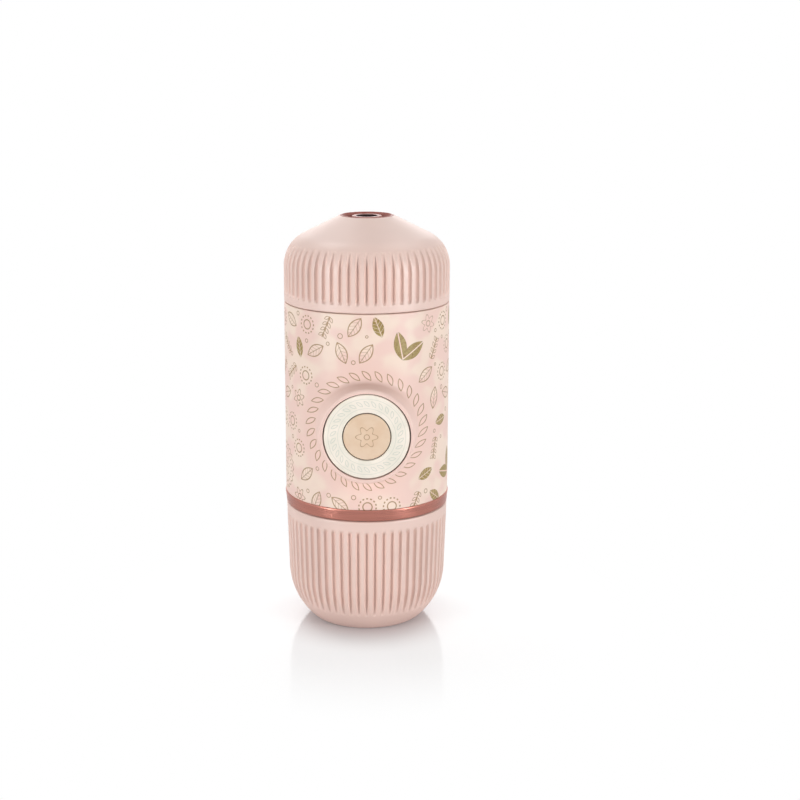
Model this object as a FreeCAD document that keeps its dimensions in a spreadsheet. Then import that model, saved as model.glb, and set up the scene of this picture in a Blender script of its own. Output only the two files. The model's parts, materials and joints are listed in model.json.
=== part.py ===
import FreeCAD, Part
import math
import os
import Sketcher

# Handheld manual espresso maker, in millimetres.
#
# The object stands on the foot of its cup, with the outlet head on top.
# Origin: centre of the flat foot. +Z is up. The pump knob faces -Y.
# Heights in the sheet are measured up from the foot, unless a name says otherwise.
# Pieces of the pump lie on a level axis. Their own frames start at the rear face of the
# pump cap, with their own Z pointing to the front, so a station is a distance from there.

SIZES = {
    # Body casing
    "body_radius": 31.0,
    "shell_wall": 2.0,
    "head_room": 43.0,
    "body_edge_break": 0.35,
    # Cup: tapered side, bowl and foot
    "cup_height": 46.0,
    "cup_lip_step": 0.2,
    "cup_bowl_step": 1.0,
    "cup_bowl_top_height": 19.6,
    "cup_bowl_arc": 26.0,
    "cup_foot_arc": 5.0,
    "cup_wall": 1.8,
    # Accent ring
    "cup_gap": 0.3,
    "accent_height": 4.3,
    "accent_flare": 0.3,
    "accent_edge_break": 0.35,
    # Outlet head: straight side, round shoulder, cone, rim
    "head_gap": 0.3,
    "head_side_height": 13.2,
    "head_shoulder_arc": 13.0,
    "head_shoulder_angle": 63.6,
    "head_rim_radius": 9.84,
    "head_wall": 2.2,
    # Flutes of the cup and head
    "flute_count": 60.0,
    "flute_width": 1.6,
    "flute_depth": 0.62,
    "flute_lip": 0.35,
    "head_flute_start": 3.4,
    "head_flute_ease": 3.3,
    "head_flute_angle": 34.0,
    "cup_flute_drop": 4.6,
    "cup_flute_ease": 8.0,
    "cup_flute_angle": 24.0,
    # Spout
    "spout_floor_depth": 2.1,
    "spout_cone_radius": 7.6,
    "spout_edge": 0.45,
    "spout_ring_radius": 5.6,
    "spout_ring_inner": 3.9,
    "spout_ring_height": 1.8,
    "spout_bore": 3.7,
    "spout_insert_height": 3.1,
    "nozzle_wall": 0.45,
    "nozzle_height": 2.2,
    "core_wall": 1.6,
    "core_start": 0.6,
    # Brewing chamber
    "brew_plate_depth": 7.1,
    "brew_plate_thickness": 2.5,
    "core_collar": 3.0,
    "neck_wall": 3.0,
    "neck_height": 7.0,
    "thread_clearance": 0.3,
    "gasket_thickness": 0.9,
    "seat_gap": 0.3,
    "flange_thickness": 0.8,
    "flange_inset": 0.3,
    "flange_width": 5.1,
    "seat_ring_thickness": 1.3,
    "basket_wall": 0.6,
    "basket_height": 13.0,
    "chamber_clearance": 0.8,
    "screen_thickness": 0.8,
    "screen_drop": 0.9,
    "screen_clearance": 0.3,
    "screen_ledge": 1.6,
    "screen_boss_radius": 3.4,
    "hole_radius": 0.6,
    "hole_count": 12.0,
    "outer_hole_inset": 5.6,
    "hole_ring_step": 6.5,
    "screen_screw_head": 2.6,
    "screen_screw_head_height": 1.0,
    "screen_screw_length": 6.0,
    # Lower bulkhead and water tank
    "socket_drop": 3.8,
    "socket_plate_thickness": 1.8,
    "socket_rise": 5.1,
    "skirt_wall": 2.4,
    "tank_neck_wall": 1.9,
    "tank_neck_height": 8.0,
    "tank_slack": 0.4,
    "tank_wall": 2.0,
    "tank_bottom_drop": 11.4,
    "tank_bottom_arc": 12.0,
    "seal_thickness": 1.5,
    "seal_width": 2.0,
    "grip_ring_drop": 6.0,
    "grip_ring_sink": 0.2,
    "grip_ring_section": 0.85,
    "ring_clearance": 0.05,
    "ring_side_clearance": 0.15,
    # Pump, as stations along its axis
    "pump_cap_thickness": 1.6,
    "pump_cap_spigot": 0.8,
    "pump_rear_gap": 2.4,
    "pump_bore": 8.0,
    "pump_wall": 2.5,
    "port_room": 3.8,
    "port_bore": 1.5,
    "port_radius": 2.6,
    "port_reach": 14.0,
    "gland_spigot": 3.0,
    "gland_flange": 1.0,
    "running_clearance": 0.06,
    "rod_radius": 4.0,
    "piston_length": 6.0,
    "piston_clearance": 0.3,
    "piston_seal_width": 2.0,
    "piston_seal_depth": 1.6,
    "rod_seal_radius": 5.6,
    "rod_seal_length": 1.8,
    "tube_wall": 1.4,
    "tube_bend": 5.0,
    "tube_bend_angle": 70.0,
    "tube_straight": 1.0,
    "tube_end_gap": 0.3,
    "outlet_offset": 9.0,
    "valve_length": 4.0,
    "valve_bore": 1.2,
    "valve_lip": 0.8,
    # Pump carrier and its screws
    "carrier_wall": 2.5,
    "carrier_length": 12.0,
    "carrier_gap": 4.4,
    "post_width": 5.0,
    "post_overlap": 0.5,
    "screw_radius": 1.2,
    "screw_head_radius": 2.3,
    "screw_head_height": 1.2,
    "screw_length": 11.0,
    # Knob and its boss
    "boss_blend": 2.4,
    "boss_margin": 8.7,
    "boss_reach": 8.2,
    "boss_side_gap": 12.1,
    "boss_root_sink": 1.0,
    "boss_rim_wall": 1.6,
    "boss_edge_break": 1.0,
    "knob_radius": 15.5,
    "knob_gap": 0.4,
    "guide_wall": 1.2,
    "guide_drop": 10.2,
    "guide_length": 19.2,
    "knob_recess": 0.4,
    "knob_wall": 1.5,
    "knob_front_thickness": 1.8,
    "knob_skirt_length": 28.0,
    "knob_ring_thickness": 0.8,
    "knob_ring_lip": 0.3,
    "knob_disc_radius": 8.45,
    "knob_disc_gap": 0.4,
    "knob_disc_crown": 0.35,
    "knob_hub_wall": 2.2,
    "knob_hub_length": 6.0,
    "clip_groove": 0.6,
    "clip_thickness": 0.8,
    "clip_width": 2.0,
    "clip_clearance": 0.2,
    # Return spring, drawn pressed in
    "spring_radius": 8.4,
    "spring_wire": 0.5,
    "spring_turns": 7.0,
    "spring_room": 24.8,
    "spring_end_gap": 0.3,
}

# Linked sizes, worked out in the sheet from the driving ones.
LINKED = {
    "cup_lip_radius": "body_radius - cup_lip_step",
    "cup_bowl_top_radius": "body_radius - cup_bowl_step",
    "cup_flute_top": "cup_height - cup_flute_drop",
    "cup_flute_arc": "cup_bowl_arc + cup_flute_ease",
    "head_flute_arc": "head_shoulder_arc + head_flute_ease",
    "accent_top_radius": "body_radius + accent_flare",
    "accent_bottom_radius": "cup_lip_radius",
    "neck_radius": "body_radius - head_wall - core_collar - thread_clearance",
    "flange_radius": "neck_radius - flange_inset",
    "basket_radius": "flange_radius - flange_width",
    "outer_hole_circle": "basket_radius - outer_hole_inset",
    "inner_hole_circle": "outer_hole_circle - hole_ring_step",
    "knob_hole_radius": "knob_radius + knob_gap",
    "boss_rim_radius": "knob_hole_radius + boss_rim_wall",
    "boss_root_radius": "body_radius - boss_side_gap",
    "boss_room": "boss_root_radius + boss_blend + boss_margin",
    "body_height": "boss_room + head_room",
    "pump_axis_height": "cup_height + cup_gap + accent_height + boss_room",
    "socket_plate_height": "cup_height + cup_gap + accent_height + socket_rise",
    "tank_rim_height": "socket_plate_height - seal_thickness - 2 * seat_gap",
    "tank_shoulder_height": "tank_rim_height - tank_neck_height",
    "tank_neck_radius": "body_radius - shell_wall - skirt_wall - thread_clearance",
    "tank_radius": "cup_bowl_top_radius - cup_wall - tank_slack",
    "tank_bottom_height": "cup_bowl_top_height - tank_bottom_drop",
    "grip_ring_height": "cup_height - grip_ring_drop",
    "grip_ring_radius": "tank_radius - grip_ring_sink",
    "pump_rear_reach": "body_radius - shell_wall - pump_rear_gap",
    "boss_face": "pump_rear_reach + body_radius + boss_reach",
    "boss_root": "pump_rear_reach + sqrt(body_radius ^ 2 - boss_root_radius ^ 2) - boss_root_sink",
    "guide_front": "boss_face - guide_drop",
    "guide_rear": "guide_front - guide_length",
    "carrier_start": "guide_rear - carrier_gap - carrier_length",
    "pump_length": "boss_face - spring_room",
    "post_offset": "pump_bore + pump_wall + carrier_wall + post_width / 2 - post_overlap",
}

# Sketch references: the origin point and the two axes.
ORIGIN_POINT = -1
LEVEL_AXIS = -1
UPRIGHT_AXIS = -2
START_POINT = 1
END_POINT = 2
CENTRE_POINT = 3


class Size:
    """A dimension that knows its value now and the sheet formula that gives it."""

    def __init__(self, value, formula):
        self.value = float(value)
        self.formula = formula

    def __add__(self, other):
        other = as_size(other)
        return Size(self.value + other.value, f"({self.formula} + {other.formula})")

    def __sub__(self, other):
        other = as_size(other)
        return Size(self.value - other.value, f"({self.formula} - {other.formula})")

    def __mul__(self, other):
        other = as_size(other)
        return Size(self.value * other.value, f"({self.formula} * {other.formula})")

    def __truediv__(self, other):
        other = as_size(other)
        return Size(self.value / other.value, f"({self.formula} / {other.formula})")

    def __radd__(self, other):
        return as_size(other) + self

    def __rsub__(self, other):
        return as_size(other) - self

    def __rmul__(self, other):
        return as_size(other) * self

    def __neg__(self):
        return Size(-self.value, f"(0 - {self.formula})")


def as_size(number):
    """Takes a plain number as a size."""
    if isinstance(number, Size):
        return number
    return Size(number, f"{float(number):.6f}")


def sine(angle):
    """Sine of an angle in degrees."""
    return Size(math.sin(math.radians(angle.value)), f"sin({angle.formula} * 1 deg)")


def cosine(angle):
    """Cosine of an angle in degrees."""
    return Size(math.cos(math.radians(angle.value)), f"cos({angle.formula} * 1 deg)")


def arc_sine(ratio):
    """Angle in degrees that has this sine."""
    return Size(math.degrees(math.asin(ratio.value)), f"(asin({ratio.formula}) / 1 deg)")


def arc_tangent(ratio):
    """Angle in degrees that has this tangent."""
    return Size(math.degrees(math.atan(ratio.value)), f"(atan({ratio.formula}) / 1 deg)")


class Dimensions:
    """Gives a cell of the sheet by its alias, as a size."""

    def __init__(self, sheet):
        self._sheet = sheet

    def __getattr__(self, alias):
        return Size(self._sheet.get(alias), f"Sizes.{alias}")


def new_sheet(document):
    """Writes every driving size into the sheet, one row each, and every linked one below."""
    sheet = document.addObject("Spreadsheet::Sheet", "Sizes")
    entries = [(alias, str(value)) for alias, value in SIZES.items()]
    entries += [(alias, "=" + formula) for alias, formula in LINKED.items()]
    for row, (alias, entry) in enumerate(entries, start=1):
        sheet.set(f"A{row}", alias)
        sheet.setAlias(f"B{row}", alias)
        sheet.set(f"B{row}", entry)
    document.recompute()
    return sheet


doc = FreeCAD.newDocument("EspressoMaker")
d = Dimensions(new_sheet(doc))


# Levels and radii that several pieces share.

def accent_bottom():
    """Height of the accent ring's lower face."""
    return d.cup_height + d.cup_gap


def body_bottom():
    """Height where the body casing stands on the accent ring."""
    return accent_bottom() + d.accent_height


def body_top():
    """Height of the body casing's upper edge."""
    return body_bottom() + d.body_height


def head_bottom():
    """Height of the outlet head's lower edge."""
    return body_top() + d.head_gap


def shoulder_height():
    """Height where the head's shoulder starts."""
    return head_bottom() + d.head_side_height


def shoulder_centre():
    """Radius of the circle that the shoulder arc's centre lies on."""
    return d.body_radius - d.head_shoulder_arc


def cone_drop(radius):
    """How far the head's cone has come down at a radius, from its rim."""
    return (radius - d.head_rim_radius) * cosine(d.head_shoulder_angle) / sine(d.head_shoulder_angle)


def head_top():
    """Height of the head's rim, where the cone meets it."""
    shoulder_end = shoulder_centre() + d.head_shoulder_arc * cosine(d.head_shoulder_angle)
    return shoulder_height() + d.head_shoulder_arc * sine(d.head_shoulder_angle) + cone_drop(shoulder_end)


def shell_bore():
    """Inner radius of the body casing."""
    return d.body_radius - d.shell_wall


def brew_plate_bottom():
    """Height of the upper bulkhead's lower face."""
    return body_top() - d.brew_plate_depth


def brew_plate_top():
    """Height of the upper bulkhead's upper face."""
    return brew_plate_bottom() + d.brew_plate_thickness


def neck_top():
    """Height of the brewing neck's rim."""
    return body_top() + d.neck_height


def neck_bore():
    """Inner radius of the brewing neck."""
    return d.neck_radius - d.neck_wall


def flange_bottom():
    """Height of the filter basket's flange."""
    return neck_top() + d.gasket_thickness + d.seat_gap


def basket_top():
    """Height of the filter basket's floor, which is its highest face."""
    return flange_bottom() + d.basket_height


def seat_ring_bottom():
    """Height of the seat ring's lower face."""
    return flange_bottom() + d.flange_thickness + d.seat_gap


def core_ledge():
    """Height of the ledge in the head core that presses on the seat ring."""
    return seat_ring_bottom() + d.seat_ring_thickness + d.seat_gap


def core_bore():
    """Radius of the head core's threaded bore."""
    return d.neck_radius + d.thread_clearance


def head_bore():
    """Inner radius of the head's straight side."""
    return d.body_radius - d.head_wall


def chamber_radius():
    """Inner radius of the head core round the basket."""
    return d.basket_radius + d.chamber_clearance


def insert_bottom():
    """Height of the spout insert's lower face."""
    return head_top() - d.spout_insert_height


def pump_outer():
    """Outer radius of the pump cylinder."""
    return d.pump_bore + d.pump_wall


def piston_front():
    """Station of the piston's pressure face when the knob is pressed in."""
    return d.pump_cap_thickness + d.pump_cap_spigot + d.port_room


def port_station():
    """Station of the pump's two ports, midway between cap and piston."""
    return d.pump_cap_thickness + d.pump_cap_spigot + d.port_room / 2


def port_reach_back():
    """Distance of the ports behind the object's axis."""
    return d.pump_rear_reach - port_station()


def gland_face():
    """Station of the gland's front face, where the spring stands."""
    return d.pump_cap_thickness + d.pump_length + d.gland_flange


def knob_face():
    """Station of the knob's front face."""
    return d.boss_face - d.knob_recess


def knob_inside():
    """Station of the knob's inner floor."""
    return knob_face() - d.knob_ring_thickness - d.knob_front_thickness


def tube_outer():
    """Outer radius of the two water tubes."""
    return d.port_radius + d.tube_wall


def socket_plate_top():
    """Height of the lower bulkhead's upper face."""
    return d.socket_plate_height + d.socket_plate_thickness


def screw_pattern():
    """Places of the carrier's posts, left and right of the axis, with their depth."""
    depth = d.pump_rear_reach - d.carrier_start - d.carrier_length / 2
    return [(side * d.post_offset, depth) for side in (-1, 1)]


# Sketching and feature helpers.

def bind(thing, prop, size):
    """Ties a property to the sheet."""
    thing.setExpression(prop, as_size(size).formula)


def new_body(label):
    """Starts a sub-part."""
    body = doc.addObject("PartDesign::Body", label)
    body.Label = label
    return body


def new_pump_body(label):
    """Starts a sub-part on the pump's axis, with its own Z to the front."""
    body = new_body(label)
    turned = FreeCAD.Rotation(FreeCAD.Vector(1, 0, 0), 90)
    body.Placement = FreeCAD.Placement(FreeCAD.Vector(0, 0, 0), turned)
    bind(body, "Placement.Base.y", d.pump_rear_reach)
    bind(body, "Placement.Base.z", d.pump_axis_height)
    return body


def origin_plane(body, role):
    """Finds one of a body's own origin planes."""
    return next(feature for feature in body.Origin.OriginFeatures if feature.Role == role)


def new_sketch(body, name, role="XZ_Plane", start=0):
    """Puts a sketch on an origin plane, moved along the plane's normal by start."""
    sketch = body.newObject("Sketcher::SketchObject", name)
    sketch.AttachmentSupport = (origin_plane(body, role), [""])
    sketch.MapMode = "FlatFace"
    bind(sketch, "AttachmentOffset.Base.z", start)
    return sketch


def pin(sketch, edge, end, across, up):
    """Holds one end of an edge at two distances from the sketch's origin."""
    places = (("DistanceX", UPRIGHT_AXIS, as_size(across)), ("DistanceY", LEVEL_AXIS, as_size(up)))
    for kind, axis, size in places:
        if abs(size.value) < 1e-9:
            sketch.addConstraint(Sketcher.Constraint("PointOnObject", edge, end, axis))
            continue
        ends = (ORIGIN_POINT, START_POINT, edge, end)
        if size.value < 0:
            ends = (edge, end, ORIGIN_POINT, START_POINT)
            size = -size
        row = sketch.addConstraint(Sketcher.Constraint(kind, *ends, size.value))
        bind(sketch, f"Constraints[{row}]", size)


def arc_between(first, last, radius, left):
    """Arc of a circle from first to last, which turns left or right on its way."""
    chord = last - first
    middle = (first + last) * 0.5
    rise = math.sqrt(max(radius ** 2 - (chord.Length / 2) ** 2, 0.0))
    sideways = FreeCAD.Vector(-chord.y, chord.x, 0).normalize()
    centre = middle + sideways * (rise if left else -rise)
    begin, finish = (first, last) if left else (last, first)
    angles = [math.atan2(point.y - centre.y, point.x - centre.x) for point in (begin, finish)]
    circle = Part.Circle(centre, FreeCAD.Vector(0, 0, 1), radius)
    return Part.ArcOfCircle(circle, angles[0], angles[1])


def draw_chain(sketch, corners, closed=True):
    """Draws edges from corner to corner, each corner pinned by its two sizes.

    A corner is (across, up) or (across, up, radius). With a radius, the edge that leaves
    the corner is an arc: it turns left for a positive radius and right for a negative one.
    """
    points = [FreeCAD.Vector(as_size(c[0]).value, as_size(c[1]).value, 0) for c in corners]
    count = len(corners) if closed else len(corners) - 1
    entries = []
    for place in range(count):
        first = points[place]
        last = points[(place + 1) % len(points)]
        bow = as_size(corners[place][2]) if len(corners[place]) > 2 else None
        if bow is None:
            edge = sketch.addGeometry(Part.LineSegment(first, last))
            entries.append((edge, START_POINT, END_POINT))
            continue
        left = bow.value > 0
        edge = sketch.addGeometry(arc_between(first, last, abs(bow.value), left))
        row = sketch.addConstraint(Sketcher.Constraint("Radius", edge, abs(bow.value)))
        bind(sketch, f"Constraints[{row}]", bow if left else -bow)
        entries.append((edge, START_POINT, END_POINT) if left else (edge, END_POINT, START_POINT))
    for place, (edge, entry, leave) in enumerate(entries):
        pin(sketch, edge, entry, corners[place][0], corners[place][1])
        if closed or place + 1 < count:
            following = entries[(place + 1) % count]
            joint = Sketcher.Constraint("Coincident", edge, leave, following[0], following[1])
            sketch.addConstraint(joint)
        else:
            pin(sketch, edge, leave, corners[-1][0], corners[-1][1])


def draw_polygon(sketch, across, up, radius, sides):
    """Draws a regular polygon inside a circle, with a flat side at each end of the across axis."""
    corners = []
    for side in range(sides):
        angle = math.pi * (2 * side + 1) / sides
        corners.append((across + radius * math.cos(angle), up + radius * math.sin(angle)))
    draw_chain(sketch, corners)


def draw_circle(sketch, across, up, radius):
    """Draws a circle whose centre and radius are sizes."""
    centre = FreeCAD.Vector(as_size(across).value, as_size(up).value, 0)
    edge = sketch.addGeometry(Part.Circle(centre, FreeCAD.Vector(0, 0, 1), radius.value))
    row = sketch.addConstraint(Sketcher.Constraint("Radius", edge, radius.value))
    bind(sketch, f"Constraints[{row}]", radius)
    pin(sketch, edge, CENTRE_POINT, across, up)


def spin(body, name, corners, cut=False):
    """Turns an outline of (radius, height) corners round the body's own Z."""
    sketch = new_sketch(body, name + "Outline")
    draw_chain(sketch, corners)
    kind = "PartDesign::Groove" if cut else "PartDesign::Revolution"
    feature = body.newObject(kind, name)
    feature.Profile = sketch
    feature.ReferenceAxis = (sketch, ["V_Axis"])
    feature.Angle = 360
    return feature


def extrude_circles(body, name, role, circles, start, length, cut=False, sides=None):
    """Pads or pockets circles of (across, up, radius) along the plane's normal.

    With sides, each circle becomes a polygon inside it, which keeps small holes light.
    """
    sketch = new_sketch(body, name + "Sketch", role, start)
    for across, up, radius in circles:
        if sides:
            draw_polygon(sketch, across, up, radius, sides)
        else:
            draw_circle(sketch, across, up, radius)
    kind = "PartDesign::Pocket" if cut else "PartDesign::Pad"
    feature = body.newObject(kind, name)
    feature.Profile = sketch
    feature.Reversed = cut
    bind(feature, "Length", length)
    return feature


def polar(body, name, originals, count):
    """Repeats features evenly round the body's own Z."""
    doc.recompute()
    pattern = body.newObject("PartDesign::PolarPattern", name)
    pattern.Originals = originals
    axis = next(feature for feature in body.Origin.OriginFeatures if feature.Role == "Z_Axis")
    pattern.Axis = (axis, [""])
    pattern.Angle = 360
    bind(pattern, "Occurrences", count)
    body.Tip = pattern
    return pattern


def round_edges(body, name, base, chosen, radius):
    """Rounds the edges of a feature that the chosen test accepts."""
    doc.recompute()
    names = [f"Edge{n}" for n, edge in enumerate(base.Shape.Edges, start=1) if chosen(edge)]
    if not names:
        raise ValueError(f"{body.Label}: {name} found no edges")
    fillet = body.newObject("PartDesign::Fillet", name)
    fillet.Base = (base, names)
    bind(fillet, "Radius", radius)
    return fillet


def flute(body, name, start, tilt, path):
    """Cuts one flute: a V-shaped cutter follows a path along the surface, in the XZ plane.

    The cutter's section stands square to the path at its start, tilted from level. Its point is
    one flute depth under the path and its open side stands out over the surface. A path that
    bends less than the surface brings the flute out of it.
    """
    section = new_sketch(body, name + "Section", "XY_Plane")
    section.AttachmentOffset = FreeCAD.Placement(
        FreeCAD.Vector(start[0].value, 0, start[1].value),
        FreeCAD.Rotation(FreeCAD.Vector(0, 1, 0), tilt.value))
    bind(section, "AttachmentOffset.Base.x", start[0])
    bind(section, "AttachmentOffset.Base.z", start[1])
    bind(section, "AttachmentOffset.Rotation.Angle", tilt)
    spread = d.flute_width / 2 * (d.flute_depth + d.flute_lip) / d.flute_depth
    draw_chain(section, [
        (-d.flute_depth, 0),
        (d.flute_lip, -spread),
        (d.flute_lip, spread),
    ])
    way = new_sketch(body, name + "Path")
    draw_chain(way, path, closed=False)
    cutter = body.newObject("PartDesign::SubtractivePipe", name)
    cutter.Profile = section
    cutter.Spine = way
    return polar(body, name + "Pattern", [cutter], d.flute_count)


# Cup, tank and accent ring.

def cup_taper():
    """Lean of the cup's side from upright, in degrees."""
    run = d.cup_lip_radius - d.cup_bowl_top_radius
    return arc_tangent(run / (d.cup_height - d.cup_bowl_top_height))


def bowl_centre():
    """Centre of the bowl arc, which is tangent to the cup's side."""
    taper = cup_taper()
    return (d.cup_bowl_top_radius - d.cup_bowl_arc * cosine(taper),
            d.cup_bowl_top_height + d.cup_bowl_arc * sine(taper))


def bowl_end_angle():
    """Angle below level where the bowl arc runs into the foot arc."""
    return arc_sine((bowl_centre()[1] - d.cup_foot_arc) / (d.cup_bowl_arc - d.cup_foot_arc))


def bowl_point(offset, angle):
    """Point of the bowl at an angle below level, moved outwards by an offset."""
    centre = bowl_centre()
    reach = d.cup_bowl_arc + offset
    return centre[0] + reach * cosine(angle), centre[1] - reach * sine(angle)


def make_cup():
    """Drinking cup: tapered fluted side, bowl of two tangent arcs and a flat foot."""
    body = new_body("cup")
    inward = -d.cup_wall
    end = bowl_end_angle()
    foot = bowl_centre()[0] + (d.cup_bowl_arc - d.cup_foot_arc) * cosine(end)
    inner_top = bowl_point(inward, cup_taper())
    lip_inside = d.cup_lip_radius - d.cup_wall / cosine(cup_taper())
    spin(body, "CupWall", [
        (0, 0),
        (foot, 0, d.cup_foot_arc),
        (*bowl_point(as_size(0), end), d.cup_bowl_arc),
        (d.cup_bowl_top_radius, d.cup_bowl_top_height),
        (d.cup_lip_radius, d.cup_height),
        (lip_inside, d.cup_height),
        (*inner_top, -(d.cup_bowl_arc - d.cup_wall)),
        (*bowl_point(inward, end), -(d.cup_foot_arc - d.cup_wall)),
        (foot, d.cup_wall),
        (0, d.cup_wall),
    ])
    taper = cup_taper()
    side_end = (d.cup_bowl_top_radius, d.cup_bowl_top_height)
    climb = (d.cup_flute_top - d.cup_bowl_top_height) / cosine(taper)
    side_start = (side_end[0] + climb * sine(taper), side_end[1] + climb * cosine(taper))
    lean = (cosine(d.cup_flute_angle) - cosine(taper), sine(d.cup_flute_angle) - sine(taper))
    leave = (side_end[0] + d.cup_flute_arc * lean[0], side_end[1] - d.cup_flute_arc * lean[1])
    flute(body, "CupFlute", side_start, taper, [
        side_start,
        (*side_end, -d.cup_flute_arc),
        leave,
    ])
    return body


def make_water_tank():
    """Water tank: round-bottomed beaker with a threaded neck and a groove for its grip ring."""
    body = new_body("water_tank")
    bottom = d.tank_bottom_height
    inner_arc = d.tank_bottom_arc - d.tank_wall
    neck_inside = d.tank_neck_radius - d.tank_neck_wall
    spin(body, "TankWall", [
        (0, bottom),
        (d.tank_radius - d.tank_bottom_arc, bottom, d.tank_bottom_arc),
        (d.tank_radius, bottom + d.tank_bottom_arc),
        (d.tank_radius, d.tank_shoulder_height),
        (d.tank_neck_radius, d.tank_shoulder_height),
        (d.tank_neck_radius, d.tank_rim_height),
        (neck_inside, d.tank_rim_height),
        (neck_inside, d.tank_shoulder_height - d.tank_wall),
        (d.tank_radius - d.tank_wall, d.tank_shoulder_height - d.tank_wall * 2),
        (d.tank_radius - d.tank_wall, bottom + d.tank_bottom_arc, -inner_arc),
        (d.tank_radius - d.tank_bottom_arc, bottom + d.tank_wall),
        (0, bottom + d.tank_wall),
    ])
    half = d.grip_ring_section + d.ring_side_clearance
    floor = d.grip_ring_radius - d.grip_ring_section - d.ring_clearance
    spin(body, "GripGroove", [
        (floor, d.grip_ring_height - half),
        (d.tank_radius + d.grip_ring_section, d.grip_ring_height - half),
        (d.tank_radius + d.grip_ring_section, d.grip_ring_height + half),
        (floor, d.grip_ring_height + half),
    ], cut=True)
    return body


def spin_round_section(body, name, ring_radius, height, section):
    """Turns an eight-sided section round the body's own Z, as an O-ring with few facets."""
    sketch = new_sketch(body, name + "Section")
    draw_polygon(sketch, ring_radius, height, section, 8)
    feature = body.newObject("PartDesign::Revolution", name)
    feature.Profile = sketch
    feature.ReferenceAxis = (sketch, ["V_Axis"])
    feature.Angle = 360


def make_cup_grip_ring():
    """O-ring on the tank that grips the cup."""
    body = new_body("cup_grip_ring")
    spin_round_section(body, "GripRing", d.grip_ring_radius, d.grip_ring_height, d.grip_ring_section)
    return body


def spin_block(body, name, inner, outer, bottom, top, cut=False):
    """Turns a rectangle round the body's own Z."""
    corners = [(inner, bottom), (outer, bottom), (outer, top), (inner, top)]
    return spin(body, name, corners, cut)


def make_tank_seal():
    """Flat seal between the tank's rim and the lower bulkhead."""
    body = new_body("tank_seal")
    bottom = d.tank_rim_height + d.seat_gap
    spin_block(body, "TankSeal", d.tank_neck_radius - d.seal_width, d.tank_neck_radius,
               bottom, bottom + d.seal_thickness)
    return body


def make_accent_ring():
    """Metal ring below the body casing, a little proud and slightly conical."""
    body = new_body("accent_ring")
    bottom = accent_bottom()
    top = body_bottom()
    ease = d.accent_edge_break
    spin(body, "AccentRing", [
        (shell_bore(), bottom),
        (d.accent_bottom_radius - ease, bottom),
        (d.accent_bottom_radius, bottom + ease),
        (d.accent_top_radius, top - ease),
        (d.accent_top_radius - ease, top),
        (shell_bore(), top),
    ])
    return body


# Body casing and bulkheads.

def make_tank_socket():
    """Lower bulkhead: a skirt that takes the tank's neck, and the plate that feeds the pump."""
    body = new_body("tank_socket")
    skirt_bottom = body_bottom() - d.socket_drop
    skirt_bore = d.tank_neck_radius + d.thread_clearance
    spin(body, "Socket", [
        (skirt_bore, skirt_bottom),
        (shell_bore(), skirt_bottom),
        (shell_bore(), socket_plate_top()),
        (0, socket_plate_top()),
        (0, d.socket_plate_height),
        (skirt_bore, d.socket_plate_height),
    ])
    holes = [(across, depth, d.screw_radius) for across, depth in screw_pattern()]
    holes.append((0, port_reach_back(), d.port_bore))
    extrude_circles(body, "SocketHoles", "XY_Plane", holes, d.socket_plate_height,
                    d.socket_plate_thickness, cut=True)
    return body


def make_body_shell():
    """Body casing: a tube with the knob's boss blended into its front."""
    body = new_body("body_shell")
    bottom = body_bottom()
    top = body_top()
    ease = d.body_edge_break
    spin(body, "Casing", [
        (0, bottom),
        (d.body_radius - ease, bottom),
        (d.body_radius, bottom + ease),
        (d.body_radius, top - ease),
        (d.body_radius - ease, top),
        (0, top),
    ])
    cone = body.newObject("PartDesign::AdditiveCone", "Boss")
    cone.AttachmentSupport = (origin_plane(body, "XZ_Plane"), [""])
    cone.MapMode = "FlatFace"
    bind(cone, "AttachmentOffset.Base.y", d.pump_axis_height)
    bind(cone, "AttachmentOffset.Base.z", d.boss_root - d.pump_rear_reach)
    bind(cone, "Radius1", d.boss_root_radius)
    bind(cone, "Radius2", d.boss_rim_radius)
    bind(cone, "Height", d.boss_face - d.boss_root)
    blend = round_edges(body, "BossBlend", cone, is_boss_root, d.boss_blend)
    round_edges(body, "BossRim", blend, is_boss_rim, d.boss_edge_break)
    spin_block(body, "CasingBore", as_size(0), shell_bore(), bottom, top, cut=True)
    axis = (as_size(0), d.pump_axis_height)
    extrude_circles(body, "KnobHole", "XZ_Plane", [(*axis, d.knob_hole_radius)],
                    as_size(0), d.boss_face - d.pump_rear_reach, cut=True)
    extrude_circles(body, "GuideSeat", "XZ_Plane", [(*axis, guide_outer())],
                    as_size(0), d.guide_front - d.pump_rear_reach, cut=True)
    return body


def points_along(edge, count=9):
    """Evenly spaced points of an edge."""
    first, last = edge.ParameterRange
    return [edge.valueAt(first + (last - first) * n / (count - 1)) for n in range(count)]


def is_boss_root(edge):
    """True for the saddle-shaped edge where the boss leaves the casing's side."""
    points = points_along(edge)
    heights = [point.z for point in points]
    depths = [point.y for point in points]
    on_side = all(abs(math.hypot(p.x, p.y) - d.body_radius.value) < 1e-3 for p in points)
    return on_side and max(heights) - min(heights) > 1 and max(depths) - min(depths) > 1


def is_boss_rim(edge):
    """True for the edge of the boss's flat front."""
    front = d.pump_rear_reach.value - d.boss_face.value
    return all(abs(point.y - front) < 1e-3 for point in points_along(edge))


def guide_outer():
    """Outer radius of the knob guide."""
    return d.knob_hole_radius + d.guide_wall


def make_knob_guide():
    """Sleeve behind the boss that the knob's skirt slides in."""
    body = new_pump_body("knob_guide")
    spin_block(body, "Guide", d.knob_hole_radius, guide_outer(), d.guide_rear, d.guide_front)
    return body


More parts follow.
